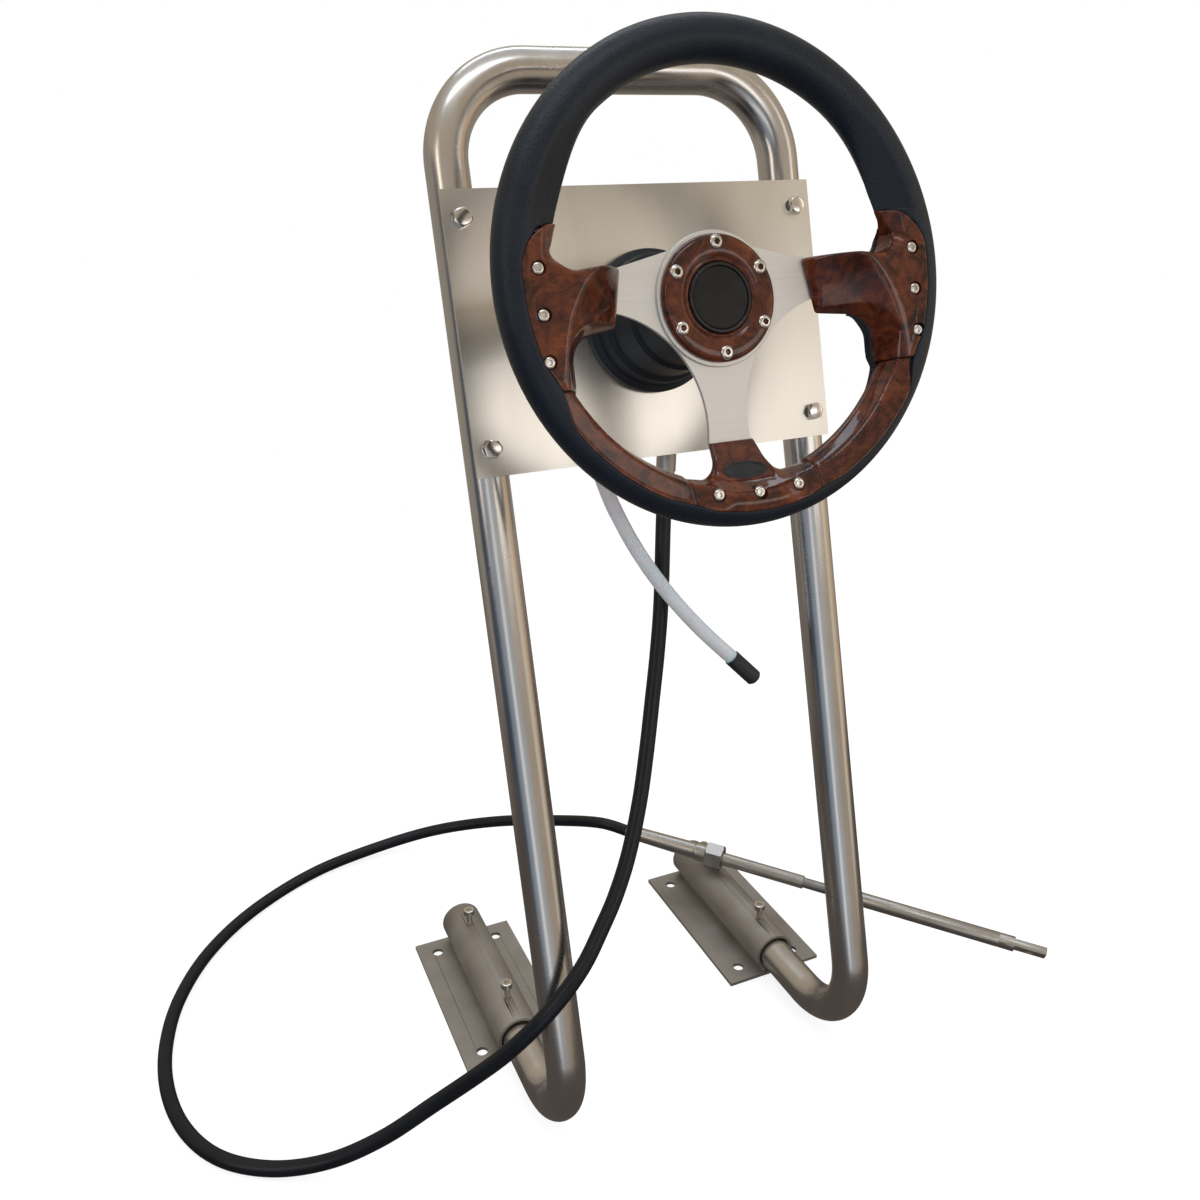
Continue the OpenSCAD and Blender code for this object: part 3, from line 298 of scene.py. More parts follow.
def make_materials():
    """One finish for each material slot of the record."""
    upright = (0.0005, 0.11, 0.0005)
    sideways = (0.07, 0.0004, 0.0004)
    make_burl_wood()
    finish("polished_tube", (0.61, 0.60, 0.585), (0.69, 0.675, 0.655), (0.22, 0.29), 0.0009,
           (0.02, 0.02, 0.12), 3e-7, speckle=0.25, metal=1.0)
    finish("dull_steel", (0.34, 0.315, 0.28), (0.43, 0.40, 0.36), (0.5, 0.62), 0.0007, 0.035, 4e-5,
           speckle=0.3, metal=0.75)
    finish("bright_screws", (0.70, 0.68, 0.65), (0.80, 0.78, 0.75), (0.14, 0.24), 0.0006, 0.004, 1e-5,
           metal=1.0)
    finish("brushed_plate", (0.78, 0.76, 0.72), (0.84, 0.82, 0.785), (0.27, 0.34), upright,
           (0.03, 0.12, 0.03), 8e-7, HELM_TURN, metal=1.0)
    finish("black_plastic", (0.006, 0.0095, 0.015), (0.011, 0.016, 0.024), (0.34, 0.46), 0.0006, 0.02, 4e-5,
           specular=0.35)
    finish("black_casting", (0.014, 0.015, 0.017), (0.024, 0.025, 0.028), (0.45, 0.6), 0.0009, 0.02, 1e-4)
    finish("gear_steel", (0.42, 0.42, 0.43), (0.55, 0.55, 0.55), (0.26, 0.4), 0.0005, 0.006, 1e-5, metal=1.0)
    finish("bronze", (0.45, 0.29, 0.12), (0.58, 0.39, 0.18), (0.28, 0.42), 0.0004, 0.005, 1e-5, metal=1.0)
    finish("seal_rubber", (0.015, 0.015, 0.015), (0.025, 0.025, 0.025), (0.6, 0.75), 0.0005, 0.005, 3e-5)
    finish("core_steel", (0.30, 0.30, 0.31), (0.42, 0.42, 0.43), (0.3, 0.45), 0.0007, 0.006, 5e-5, metal=1.0)
    finish("ferrule_steel", (0.45, 0.435, 0.415), (0.55, 0.535, 0.515), (0.26, 0.4), 0.0007, 0.012, 1.2e-5,
           metal=1.0)
    finish("milky_plastic", (0.62, 0.68, 0.74), (0.74, 0.79, 0.84), (0.24, 0.34), 0.001, 0.02, 2e-5,
           subsurface=0.35)
    finish("cap_rubber", (0.012, 0.012, 0.014), (0.022, 0.022, 0.025), (0.4, 0.52), 0.0006, 0.008, 4e-5)
    finish("jacket_black", (0.0045, 0.0065, 0.010), (0.008, 0.011, 0.016), (0.27, 0.36), 0.0012, 0.03, 3e-5,
           specular=0.32)
    finish("rim_black", (0.0055, 0.0105, 0.019), (0.0095, 0.0165, 0.028), (0.33, 0.43), 0.0016, 0.03,
           0.00035, specular=0.32)
    finish("spoke_alloy", (0.71, 0.71, 0.71), (0.80, 0.80, 0.80), (0.44, 0.54), sideways,
           (0.09, 0.004, 0.02), 6e-6, HELM_TURN, speckle=0.6, metal=1.0)
    finish("gloss_black", (0.008, 0.008, 0.01), (0.014, 0.014, 0.016), (0.1, 0.16), 0.001, 0.01, 5e-6)
    finish("charcoal_plastic", (0.012, 0.011, 0.011), (0.019, 0.018, 0.017), (0.36, 0.44), 0.0005, 0.01,
           3e-5, specular=0.2)
    finish("badge_dark", (0.010, 0.011, 0.013), (0.02, 0.022, 0.025), (0.16, 0.24), 0.0006, 0.01, 1e-5)
    finish("hub_alloy", (0.24, 0.24, 0.25), (0.34, 0.34, 0.35), (0.3, 0.45), 0.0006, 0.01, 2e-5, metal=1.0)
    finish("drum_alloy", (0.38, 0.38, 0.38), (0.48, 0.48, 0.48), (0.3, 0.45), 0.0006, 0.01, 2e-5, metal=1.0)


# Meshes

def piece(name, form, slot, body, replaced, place=HELM, sharp=34):
    """A mesh object from points in millimetres and faces, riding on a body in place of CAD nodes."""
    points, faces = form
    mesh = bpy.data.meshes.new(name)
    mesh.from_pydata([place @ (Vector(point) * MM) for point in points], [], faces)
    work = bmesh.new()
    work.from_mesh(mesh)
    bmesh.ops.recalc_face_normals(work, faces=work.faces)
    work.to_mesh(mesh)
    work.free()
    mesh.polygons.foreach_set("use_smooth", [True] * len(mesh.polygons))
    mesh.set_sharp_from_angle(angle=math.radians(sharp))
    mesh.materials.append(materials[slot])
    obj = bpy.data.objects.new(name, mesh)
    scene.collection.objects.link(obj)
    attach(obj, body)
    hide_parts(*replaced)
    return obj


def stack(rings, closed=False):
    """Points and faces of a skin over rings of equal count, closed on itself or capped at both ends."""
    count = len(rings[0])
    points = [point for ring in rings for point in ring]
    faces = []
    for row in range(len(rings) if closed else len(rings) - 1):
        here = row * count
        there = (row + 1) % len(rings) * count
        for k in range(count):
            after = (k + 1) % count
            faces.append((here + k, here + after, there + after, there + k))
    if not closed:
        faces.append(tuple(range(count)))
        faces.append(tuple(range(len(points) - count, len(points))))
    return points, faces


def gather(forms):
    """Several forms as one."""
    points, faces = [], []
    for some_points, some_faces in forms:
        start = len(points)
        points += some_points
        faces += [tuple(start + k for k in face) for face in some_faces]
    return points, faces


def shifted(form, x, y, z, turn=0.0):
    """A form turned about its z axis, in degrees, and moved."""
    c, s = math.cos(math.radians(turn)), math.sin(math.radians(turn))
    points, faces = form
    return [(x + c * px - s * py, y + s * px + c * py, z + pz) for px, py, pz in points], faces


def circles(profile, count):
    """Rings of points round the z axis, from an outline of radius and height."""
    angles = [math.tau * k / count for k in range(count)]
    return [[(radius * math.cos(a), radius * math.sin(a), z) for a in angles] for radius, z in profile]


def lathe(profile, count=128):
    """A closed ring from an outline of radius and height."""
    return stack(circles(profile, count), closed=True)


HEX_COUNT = 72
HEX_CROWN = 0.94
HEX_SLOPE = 0.5
SCREW_COUNT = 48


def hexagon(flats, z, count=HEX_COUNT):
    """A hexagon of the given width across its flats, as a ring of points."""
    ring = []
    for k in range(count):
        angle = math.tau * k / count
        radius = flats / 2 / math.cos(angle % (math.pi / 3) - math.pi / 6)
        ring.append((radius * math.cos(angle), radius * math.sin(angle), z))
    return ring


def hex_chamfer(flats, z, way):
    """Where a hexagon's walls end at a chamfered face that looks up, with way 1, or down, with way -1."""
    round_r = HEX_CROWN * flats / 2
    return [(x, y, z - way * HEX_SLOPE * (math.hypot(x, y) - round_r)) for x, y, _ in hexagon(flats, 0)]


def hex_top(flats, height):
    """The chamfered top of a hexagon: where its walls end, and the round face inside."""
    lip, dome = 0.4, 0.12
    round_r = HEX_CROWN * flats / 2
    face = circles([(round_r, height), (round_r - lip, height + dome)], HEX_COUNT)
    return [hex_chamfer(flats, height, 1), *face]


def hex_bolt(flats, height, shank_r, tail):
    """A bolt with a chamfered hexagon head above zero and its shank below."""
    chamfer = 0.8
    shank = circles([(shank_r - chamfer, tail), (shank_r, tail + chamfer), (shank_r, 0)], HEX_COUNT)
    return stack([*shank, hexagon(flats, 0), *hex_top(flats, height)])


def hex_socket(flats, height, flare, chamfer, floor):
    """The rings of a hexagon socket in a screw's head, from its flared mouth to its floor."""
    return [hexagon(flats * flare, height, SCREW_COUNT), hexagon(flats, height - chamfer, SCREW_COUNT),
            hexagon(flats, height * floor, SCREW_COUNT)]


def button_screw(head_r, height, shank_r, tail):
    """A screw with a domed head above zero, a hexagon socket in it and its shank below."""
    edge, skirt, crown = 0.2, 0.3, 0.55
    brow = math.radians(52)
    profile = [(shank_r, tail), (shank_r, 0), (head_r - edge, 0), (head_r, edge)]
    for angle in (brow * k / 5 for k in range(6)):
        rise = skirt + (1 - skirt) * math.sin(angle) / math.sin(brow)
        profile.append((head_r * math.cos(angle), height * rise))
    profile.append((head_r * crown, height))
    socket = hex_socket(head_r * 0.8, height, flare=1.08, chamfer=0.15, floor=0.25)
    return stack(circles(profile, SCREW_COUNT) + socket)


def cap_screw(head_r, height, shank_r, tail):
    """A screw with a tall round head above zero, a hexagon socket in it and its shank below."""
    edge, brow, soft = 0.3, 0.8, 0.25
    profile = [(shank_r, tail), (shank_r, 0), (head_r - edge, 0), (head_r, edge), (head_r, height - brow),
               (head_r - soft, height - soft), (head_r - brow, height)]
    socket = hex_socket(head_r * 1.05, height, flare=1.1, chamfer=0.3, floor=0.45)
    return stack(circles(profile, SCREW_COUNT) + socket)


def arc(centre, radius, start, end, steps):
    """Points of an arc between two angles in degrees."""
    angles = [math.radians(start + (end - start) * k / steps) for k in range(steps + 1)]
    return [(centre[0] + radius * math.cos(a), centre[1] + radius * math.sin(a)) for a in angles]


def bezier(a, b, c, steps):
    """Points of a curve from a to c that bends towards b."""
    return [((1 - t) ** 2 * a[0] + 2 * t * (1 - t) * b[0] + t * t * c[0],
             (1 - t) ** 2 * a[1] + 2 * t * (1 - t) * b[1] + t * t * c[1])
            for t in (k / steps for k in range(steps + 1))]


def smooth_route(route, steps):
    """Points in metres along a smooth curve through a route's points in millimetres."""
    p = [Vector(point) * MM for point in route]
    last = len(p) - 1
    points = []
    for i in range(last):
        a, b, c, d = p[max(i - 1, 0)], p[i], p[i + 1], p[min(i + 2, last)]
        for k in range(steps):
            t = k / steps
            points.append(0.5 * (2 * b + (c - a) * t + (2 * a - 5 * b + 4 * c - d) * t ** 2
                                 + (3 * b - a - 3 * c + d) * t ** 3))
    return points + [p[last]]


def make_cord(name, route, diameter, slot, node, with_pieces):
    """A free cord along its route, from its exit to its fitting."""
    points = smooth_route(route, 10)
    curve = bpy.data.curves.new(name, "CURVE")
    curve.dimensions = "3D"
    curve.bevel_depth = diameter * MM / 2
    curve.bevel_resolution = 8
    curve.use_fill_caps = True
    spline = curve.splines.new("POLY")
    spline.points.add(len(points) - 1)
    for place, point in zip(spline.points, points):
        place.co = (*point, 1.0)
    spline.use_smooth = True
    curve.materials.append(materials[slot])
    obj = bpy.data.objects.new(name, curve)
    scene.collection.objects.link(obj)
    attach(obj, "stand")
    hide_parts(node)


# Stand

def fillet(corners, radius, steps):
    """A path through corners with each inner corner rounded by an arc."""
    path = [Vector(corners[0])]
    for before, corner, after in zip(corners, corners[1:], corners[2:]):
        corner = Vector(corner)
        back = (Vector(before) - corner).normalized()
        ahead = (Vector(after) - corner).normalized()
        half = back.angle(ahead) / 2
        centre = corner + (back + ahead).normalized() * radius / math.sin(half)
        start = corner + back * radius / math.tan(half) - centre
        side = -back
        sweep = math.pi - 2 * half
        for k in range(steps + 1):
            angle = sweep * k / steps
            path.append(centre + start * math.cos(angle) + side * radius * math.sin(angle))
    return path + [Vector(corners[-1])]


def ring_along(point, heading, normal, radius, count):
    """A ring of points round a path's point, square to its heading."""
    across = heading.cross(normal)
    angles = [math.tau * k / count for k in range(count)]
    return [point + radius * (normal * math.cos(a) + across * math.sin(a)) for a in angles]


def pipe(path, outer, inner, count=56):
    """A hollow tube along a path, with its outer and inner walls and its open ends."""
    normal = Vector((1, 0, 0.001))
    outer_rings, inner_rings = [], []
    for k, point in enumerate(path):
        heading = (path[min(k + 1, len(path) - 1)] - path[max(k - 1, 0)]).normalized()
        normal = (normal - heading * normal.dot(heading)).normalized()
        outer_rings.append(ring_along(point, heading, normal, outer, count))
        inner_rings.append(ring_along(point, heading, normal, inner, count))
    return stack(outer_rings + inner_rings[::-1], closed=True)


def make_stand():
    """The bent tube: two feet, two leaning legs and the bar across the top."""
    rise = LEG_LENGTH * math.cos(LEG_LEAN)
    back = LEG_LENGTH * math.sin(LEG_LEAN)
    left = [(-LEG_X, FOOT_BACK, FOOT_Z), (-LEG_X, FOOT_FRONT, FOOT_Z),
            (-LEG_X, FOOT_FRONT + back, FOOT_Z + rise)]
    right = [(-x, y, z) for x, y, z in reversed(left)]
    form = pipe(fillet(left + right, BEND_R, BEND_STEPS), TUBE_R, TUBE_R - TUBE_WALL)
    piece("stand_pipe", form, "polished_tube", "stand", ["stand_tube"], WORLD)


def make_set_screws():
    """The screws that hold the feet in their sockets, at the corners of their CAD node's box."""
    low, high = (Vector(corner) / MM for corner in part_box("set_screws"))
    seat = high.z - SET_HEAD_H
    screw = cap_screw(SET_HEAD_R, SET_HEAD_H, SET_SHANK_R, low.z - seat)
    places = [(side * LEG_X, y, seat) for side in (-1, 1) for y in (low.y + SET_CAD_R, high.y - SET_CAD_R)]
    screws = [shifted(screw, *place, SET_TURN * k) for k, place in enumerate(places)]
    piece("set_screw_group", gather(screws), "bright_screws", "stand", ["set_screws"], WORLD)


def make_bolts():
    """The four plate bolts, each turned its own way."""
    bolt = hex_bolt(BOLT_AF, BOLT_HEAD, BOLT_R, BOLT_TAIL)
    bolts = []
    for side in (-1, 1):
        for up in (-1, 1):
            turn = BOLT_TURN + BOLT_TURN_SIDE * side + BOLT_TURN_UP * up
            bolts.append(shifted(bolt, side * BOLT_X, up * BOLT_Y, 0, turn))
    piece("plate_bolt_set", gather(bolts), "bright_screws", "stand", ["plate_bolts"])


def rounded(profile, radius, steps=5):
    """A closed outline of radius and height with its corners rounded."""
    out = []
    count = len(profile)
    for k in range(count):
        corner = Vector(profile[k])
        back = Vector(profile[k - 1]) - corner
        ahead = Vector(profile[(k + 1) % count]) - corner
        reach = min(radius, 0.45 * back.length, 0.45 * ahead.length)
        start = corner + back.normalized() * reach
        out += bezier(start, corner, corner + ahead.normalized() * reach, steps)
    return out


def make_output():
    """The output tube with its collar, and the nut in front of it, which is returned."""
    collar = NUT_BACK - NUT_PLAY
    shoulder = collar - COLLAR_L
    tube = [(OUTPUT_BORE_R, OUTPUT_BACK), (OUTPUT_BACK_R, OUTPUT_BACK), (OUTPUT_MID_R, OUTPUT_MID),
            (OUTPUT_FRONT_R, shoulder - COLLAR_RISE), (COLLAR_R, shoulder), (COLLAR_R, collar),
            (GUIDE_R, collar), (GUIDE_R, GUIDE_END), (OUTPUT_BORE_R, GUIDE_END)]
    piece("output_sleeve", lathe(rounded(tube, 0.7), 64), "ferrule_steel", "stand", ["output_tube"], OUTPUT)
    bore = GUIDE_R + NUT_PLAY
    floor = NUT_FRONT - NUT_MOUTH_L
    flare, chamfer = 0.5, 0.6
    foot = circles([(bore, NUT_BACK), (HEX_CROWN * NUT_AF / 2, NUT_BACK)], HEX_COUNT)
    mouth = circles([(NUT_MOUTH_R + flare, NUT_FRONT), (NUT_MOUTH_R, NUT_FRONT - chamfer),
                     (NUT_MOUTH_R, floor), (bore, floor)], HEX_COUNT)
    rings = [*foot, hex_chamfer(NUT_AF, NUT_BACK, -1), *hex_top(NUT_AF, NUT_FRONT), *mouth]
    form = shifted(stack(rings, closed=True), 0, 0, 0, NUT_TURN)
    return piece("cable_nut_hex", form, "ferrule_steel", "cable_nut", ["cable_nut"], OUTPUT)


def make_bezel():
    """The stepped bezel on the plate, as an outline of radius and height."""
    outer = [(56, 0.02), (56, 8), (51, 10), (49.5, 24), (46, 26), (44, 56), (41, 58), (37, 88), (33, 92)]
    inner = [(20.1, 92), (20.1, 89), (32, 89), (34, 57), (41, 25), (46.5, 9), (51, 7), (53, 0.02)]
    piece("bezel_shell", lathe(rounded(outer + inner, 1.4)), "black_plastic", "stand", ["helm_bezel"])


# Wood on the wheel

def torus_z(rho):
    """Height of the rim's front at a distance from the rim's centre."""
    return RIM_MID + np.sqrt(np.clip(RIM_SECTION ** 2 - (rho - RIM_R) ** 2, 0, None))


def rim_distance(x, y):
    """Distance from the rim's centre."""
    return np.hypot(x, y - RIM_RISE)


def soft_min(a, b, width):
    """The lower of two heights, with the corner between them rounded."""
    near = np.clip(width - np.abs(a - b), 0, None) / width
    return np.minimum(a, b) - near ** 2 * width / 4


def soft_max(a, b, width):
    """The higher of two heights, with the corner between them rounded."""
    return -soft_min(-a, -b, width)


def ease(x, low, high):
    """A smooth step from 0 at low to 1 at high."""
    t = np.clip((x - low) / (high - low), 0, 1)
    return t * t * (3 - 2 * t)


def resample(edges, step):
    """A closed outline at an even step, from stretches of points that each have an edge radius."""
    corners = [(x, y, radius) for points, radius in edges for x, y in points]
    out = []
    for (x0, y0, radius), (x1, y1, _) in zip(corners, corners[1:] + corners[:1]):
        length = math.hypot(x1 - x0, y1 - y0)
        count = max(1, round(length / step))
        if length > 1e-6:
            out += [(x0 + (x1 - x0) * k / count, y0 + (y1 - y0) * k / count, radius) for k in range(count)]
    return np.array(out)


def gaps_to(points, start, along):
    """Offsets of points from the starts of stretches, and their distances to them."""
    offset = points[:, None, :] - start[None, :, :]
    t = np.clip((offset * along).sum(2) / (along ** 2).sum(1), 0, 1)
    return offset, np.linalg.norm(offset - t[:, :, None] * along, axis=2)


def edge_distance(points, outline):
    """Distance of points to a closed outline, and the index of the nearest stretch."""
    start = outline[:, :2]
    _, gaps = gaps_to(points, start, np.roll(start, -1, axis=0) - start)
    return gaps.min(1), gaps.argmin(1)


def inside(points, outline):
    """Which points lie inside a closed outline."""
    x, y = points[:, 0:1], points[:, 1:2]
    x0, y0 = outline[:, 0], outline[:, 1]
    x1, y1 = np.roll(x0, -1), np.roll(y0, -1)
    rise = np.where(y1 == y0, 1e-9, y1 - y0)
    crossed = ((y0 > y) != (y1 > y)) & (x < x0 + (y - y0) * (x1 - x0) / rise)
    return crossed.sum(1) % 2 == 1


EDGE_RINGS = (0.05, 0.2, 0.45, 0.85, 1.4, 2.1, 3.0, 4.1)
RING_SLACK = 0.93
GRID_STEP = 1.8
ROW_SHARE = 0.866
GRID_CLEAR = 0.6
LINE_CLEAR = 0.5
GRID_TO_LINE = 0.7
SEAT_CLEAR = 0.75
SEAT_RINGS = (-0.06, 0.06, 0.45)
OUTLINE_STEP = 1.2
LEAST_WALL = 0.4


def plan_points(outline, seats, lines):
    """Points inside an outline: rings along its edge, circles round the seats, lines and an even grid."""
    start = outline[:, :2]
    along = np.roll(start, -1, axis=0) - np.roll(start, 1, axis=0)
    normal = np.stack([-along[:, 1], along[:, 0]], 1) / np.linalg.norm(along, axis=1)[:, None]
    chosen = [start]
    for depth in EDGE_RINGS:
        ring = start + normal * depth
        gap, _ = edge_distance(ring, outline)
        chosen.append(ring[inside(ring, outline) & (gap > RING_SLACK * depth)])
    low, high = start.min(0), start.max(0)
    columns = np.arange(low[0], high[0], GRID_STEP)
    rows = np.arange(low[1], high[1], GRID_STEP * ROW_SHARE)
    grid = np.array([(x + (GRID_STEP / 2 if k % 2 else 0), y) for k, y in enumerate(rows) for x in columns])
    gap, _ = edge_distance(grid, outline)
    grid = grid[inside(grid, outline) & (gap > EDGE_RINGS[-1] + GRID_CLEAR)]
    for line in lines:
        line = np.array(line)
        gap, _ = edge_distance(line, outline)
        line = line[inside(line, outline) & (gap > EDGE_RINGS[-1] + LINE_CLEAR)]
        if len(line):
            away = np.linalg.norm(grid[:, None, :] - line[None, :, :], axis=2).min(1)
            grid = grid[away > GRID_TO_LINE]
            chosen.append(line)
    chosen.append(grid)
    points = np.concatenate(chosen)
    fixed = len(start)
    for x, y in seats:
        away = np.hypot(points[:, 0] - x, points[:, 1] - y)
        keep = np.abs(away - SEAT_R) > SEAT_CLEAR
        keep[:fixed] = True
        points = points[keep]
        rims = [np.array(arc((x, y), SEAT_R + shift, 0, 360, 40)[:-1]) for shift in SEAT_RINGS]
        points = np.concatenate([points, *rims])
    return points


def plan_solid(edges, top, back, seats=(), floor=0.0, lines=()):
    """A solid over an outline, between a front and a back height, with rounded edges and screw seats."""
    outline = resample(edges, OUTLINE_STEP)
    count = len(outline)
    reach = 4
    window = 2 * reach + 1
    radii = np.concatenate([outline[-reach:, 2], outline[:, 2], outline[:reach, 2]])
    outline[:, 2] = np.convolve(radii, np.ones(window) / window, "valid")
    points = plan_points(outline, seats, lines)
    loop = [(k, (k + 1) % count) for k in range(count)]
    flat, _, triangles, origin, _, _ = geometry.delaunay_2d_cdt(
        [Vector(point) for point in points], loop, [], 0, 1e-5)
    place = {source: k for k, sources in enumerate(origin) for source in sources}
    plan = np.array([tuple(point) for point in flat])
    middles = np.array([plan[list(face)].mean(0) for face in triangles])
    kept = inside(middles, outline)
    triangles = [tuple(face) for face, keep in zip(triangles, kept) if keep]
    gap, nearest = edge_distance(plan, outline)
    radius = outline[nearest, 2]
    short = np.clip(radius - gap, 0, None)
    front = top(plan[:, 0], plan[:, 1]) - (radius - np.sqrt(np.clip(radius ** 2 - short ** 2, 0, None)))
    for x, y in seats:
        front = np.where(np.hypot(plan[:, 0] - x, plan[:, 1] - y) < SEAT_R, floor, front)
    rear = back(plan[:, 0], plan[:, 1])
    front = np.maximum(front, rear + LEAST_WALL)
    points = [(x, y, z) for heights in (front, rear) for (x, y), z in zip(plan, heights)]
    faces = list(triangles)
    faces += [tuple(len(plan) + k for k in reversed(face)) for face in triangles]
    for a, b in loop:
        a, b = place[a], place[b]
        faces.append((a, len(plan) + a, len(plan) + b, b))
    return points, faces


CREASE = bezier((102, 21), (132, -2), (133, -55), 44)
CREASE_BEFORE = (15, 90)
CREASE_AFTER = (133, -120)
CREASE_TOP = 146.2
CROOK = arc(CROOK_C, CROOK_R, 80, 0, 24)
CROOK_AFTER = (CROOK_C[0] + CROOK_R, -120)
CROOK_SLOPE = 2.1
CROOK_LIP = 1.0
TRIM_FACE = 145.9
FACE_BLEND = 1.6
LUG_END_Z = 115.5
LUG_HOLLOW = 1.3
LUG_BACK_X = 86.0
LUG_BACK_SLOPE = 0.3876
SPOKE_SEAT = SPOKE_TOP + 0.1
BACK_START = SPOKE_TOP + 0.2
SEAM_SLOPE = 1.15
SEAM_DIP = 3.0
LOW_SEAM_DIP = 1.4
SEAM_TURN = -25.64
TIP_LIFT = 8.0
TIP_BEVEL_RHO = 142.0
TIP_BEVEL_SLOPE = 0.95
TIP_BEVEL_BLEND = 2.4


def outer_rho(angle):
    """Distance of the wood's outer edge from the rim's centre, at degrees above the horizontal."""
    up = np.array(angle)
    if angle > SEAM_TURN:
        return WOOD_R - SEAM_DIP * float(ease(up, -17, SEAM_TURN))
    at_side_seam = float(ease(up, -36, SEAM_TURN))
    at_low_seam = float(ease(up, -63, -70) * ease(up, -77, -72))
    return LOW_WOOD_R - (LOW_WOOD_R - WOOD_R + SEAM_DIP) * at_side_seam - LOW_SEAM_DIP * at_low_seam


def outer_edge(start, end, steps):
    """Points of the wood's outer edge between two angles in degrees."""
    angles = [start + (end - start) * k / steps for k in range(steps + 1)]
    return [arc((0, RIM_RISE), outer_rho(a), a, a, 1)[0] for a in angles]


def seam_angle(y):
    """The angle at which the wood's outer edge meets a side seam."""
    return math.degrees(math.asin((y - RIM_RISE) / (WOOD_R - SEAM_DIP)))


def line_distance(line, x, y):
    """Distance from an open line, positive to the right of its direction."""
    line = np.array(line)
    along = np.diff(line, axis=0)
    offset, gaps = gaps_to(np.stack([x, y], 1), line[:-1], along)
    near = gaps.argmin(1)
    rows = np.arange(len(near))
    side = along[near, 0] * offset[rows, near, 1] - along[near, 1] * offset[rows, near, 0]
    return np.where(side > 0, -1, 1) * gaps[rows, near]


def side_back(x, y):
    """Back of a side trim: flat on the spoke, rising to the rim and lifted at the tip."""
    rise = np.minimum(BACK_START + (x - LUG_BACK_X) * LUG_BACK_SLOPE, SHELL_BACK)
    return np.where(x < LUG_BACK_X, SPOKE_SEAT, rise) + TIP_LIFT * ease(y, 30, 46)


def side_top(x, y):
    """A screw face, a hollow face down to the hub end, a bevel along the crook and one inside the tip."""
    rho = rim_distance(x, y)
    face = np.maximum(torus_z(rho), TRIM_FACE)
    from_crease = line_distance([CREASE_BEFORE, *CREASE, CREASE_AFTER], x, y)
    from_end = np.abs(line_distance([LUG_HIGH, LUG_LOW], x, y))
    down = np.clip(from_crease, 0, None)
    ruled = LUG_END_Z + (CREASE_TOP - LUG_END_Z) * (1 - down / (down + from_end + 0.01)) ** LUG_HOLLOW
    ruled = np.where(from_crease < 0, CREASE_TOP - from_crease, ruled)
    near_seam = ease(y, -22, -50)
    slope = (1 - near_seam) * ruled + near_seam * (CREASE_TOP - SEAM_SLOPE * from_crease)
    face = soft_min(face, slope, FACE_BLEND)
    from_crook = np.clip(-line_distance([LUG_LOW, *CROOK, CROOK_AFTER], x, y), 0, None)
    face = soft_min(face, side_back(x, y) + CROOK_LIP + CROOK_SLOPE * from_crook, FACE_BLEND)
    bevel = TRIM_FACE - TIP_BEVEL_SLOPE * (TIP_BEVEL_RHO - rho)
    high = ease(y, 22, 34)
    return (1 - high) * face + high * soft_min(face, bevel, TIP_BEVEL_BLEND)


def side_edges():
    """A side trim's outline, in stretches of points with the radius of their front edge."""
    return [
        (outer_edge(seam_angle(SEAM_Y), TIP_TURN, 40), 1.2),
        (arc(TIP_C, TIP_R, TIP_FROM, TIP_TO, 30), 1.4),
        (arc(THROAT_C, THROAT_R, 0, -100, 24), 3.5),
        (arc(LUG_HIGH_C, LUG_CORNER_R, 84, 191, 6), 5.0),
        (arc(LUG_LOW_C, LUG_CORNER_R, 191, 261, 6), 3.0),
        (CROOK, 1.0),
        ([(CROOK_C[0] + CROOK_R, SEAM_Y)], 0.6)]


def mirrored(form):
    """A form on the other side of the wheel."""
    points, faces = form
    return [(-x, y, z) for x, y, z in points], [tuple(reversed(face)) for face in faces]


def make_side_trims():
    """The wood over the left and right spokes."""
    form = plan_solid(side_edges(), side_top, side_back, SIDE_SCREWS, SIDE_SEAT, [CREASE])
    piece("burl_trim_right", form, "burl_wood", "wheel", ["trim_right"])
    piece("burl_trim_left", mirrored(form), "burl_wood", "wheel", ["trim_left"])


ARC_CREASE_R = 144.8
ARC_CREASE_Z = 140.3
ARC_INNER_R = 139.6
ARC_OUTER_SLOPE = 0.4
ARC_INNER_SLOPE = 2.6
BACKING_LIP = 1.1
BACKING_GAP = 0.15
BACKING_LEAST = 0.7
BACKING_HIGH = 3.0
BACKING_MORE = 3.5
BACKING_OUTER = [(106, -95), (130, -64), (145, -20), (145, 20), (140, 42)]


def backing_front(x, y):
    """Front of the rubber behind a side trim."""
    return side_back(x, y) - BACKING_GAP


def backing_rear(x, y):
    """Back of that rubber, deeper at the crook and thin at its ends and under the lug."""
    ends = ease(y, -80, -45) * ease(y, 41, 30)
    lug = ease(y, 2, -12) * ease(x, 117, 104)
    deep = BACKING_HIGH + BACKING_MORE * ease(y, 8, -22)
    return side_back(x, y) - BACKING_LEAST - deep * ends * (1 - lug)


def make_backing():
    """The rubber that stands out a little behind the side trims, along the throat and the crook."""
    tail_r = ARC_INNER_R - BACKING_LIP
    tail = [arc((0, RIM_RISE), tail_r + 0.45 * k, -30 - 1.1 * k, 0, 1)[0] for k in range(13)]
    inner = [*arc(THROAT_C, THROAT_R - BACKING_LIP, 25, -95, 28),
             *arc(CROOK_C, CROOK_R - BACKING_LIP, 78, 0, 24),
             (CROOK_C[0] + CROOK_R - BACKING_LIP, SEAM_Y + 3), *tail]
    form = plan_solid([(BACKING_OUTER, 0.4), (inner, 0.8)], backing_front, backing_rear)
    piece("rubber_back_right", form, "rim_black", "wheel", ["wheel_rim"])
    piece("rubber_back_left", mirrored(form), "rim_black", "wheel", ["wheel_rim"])


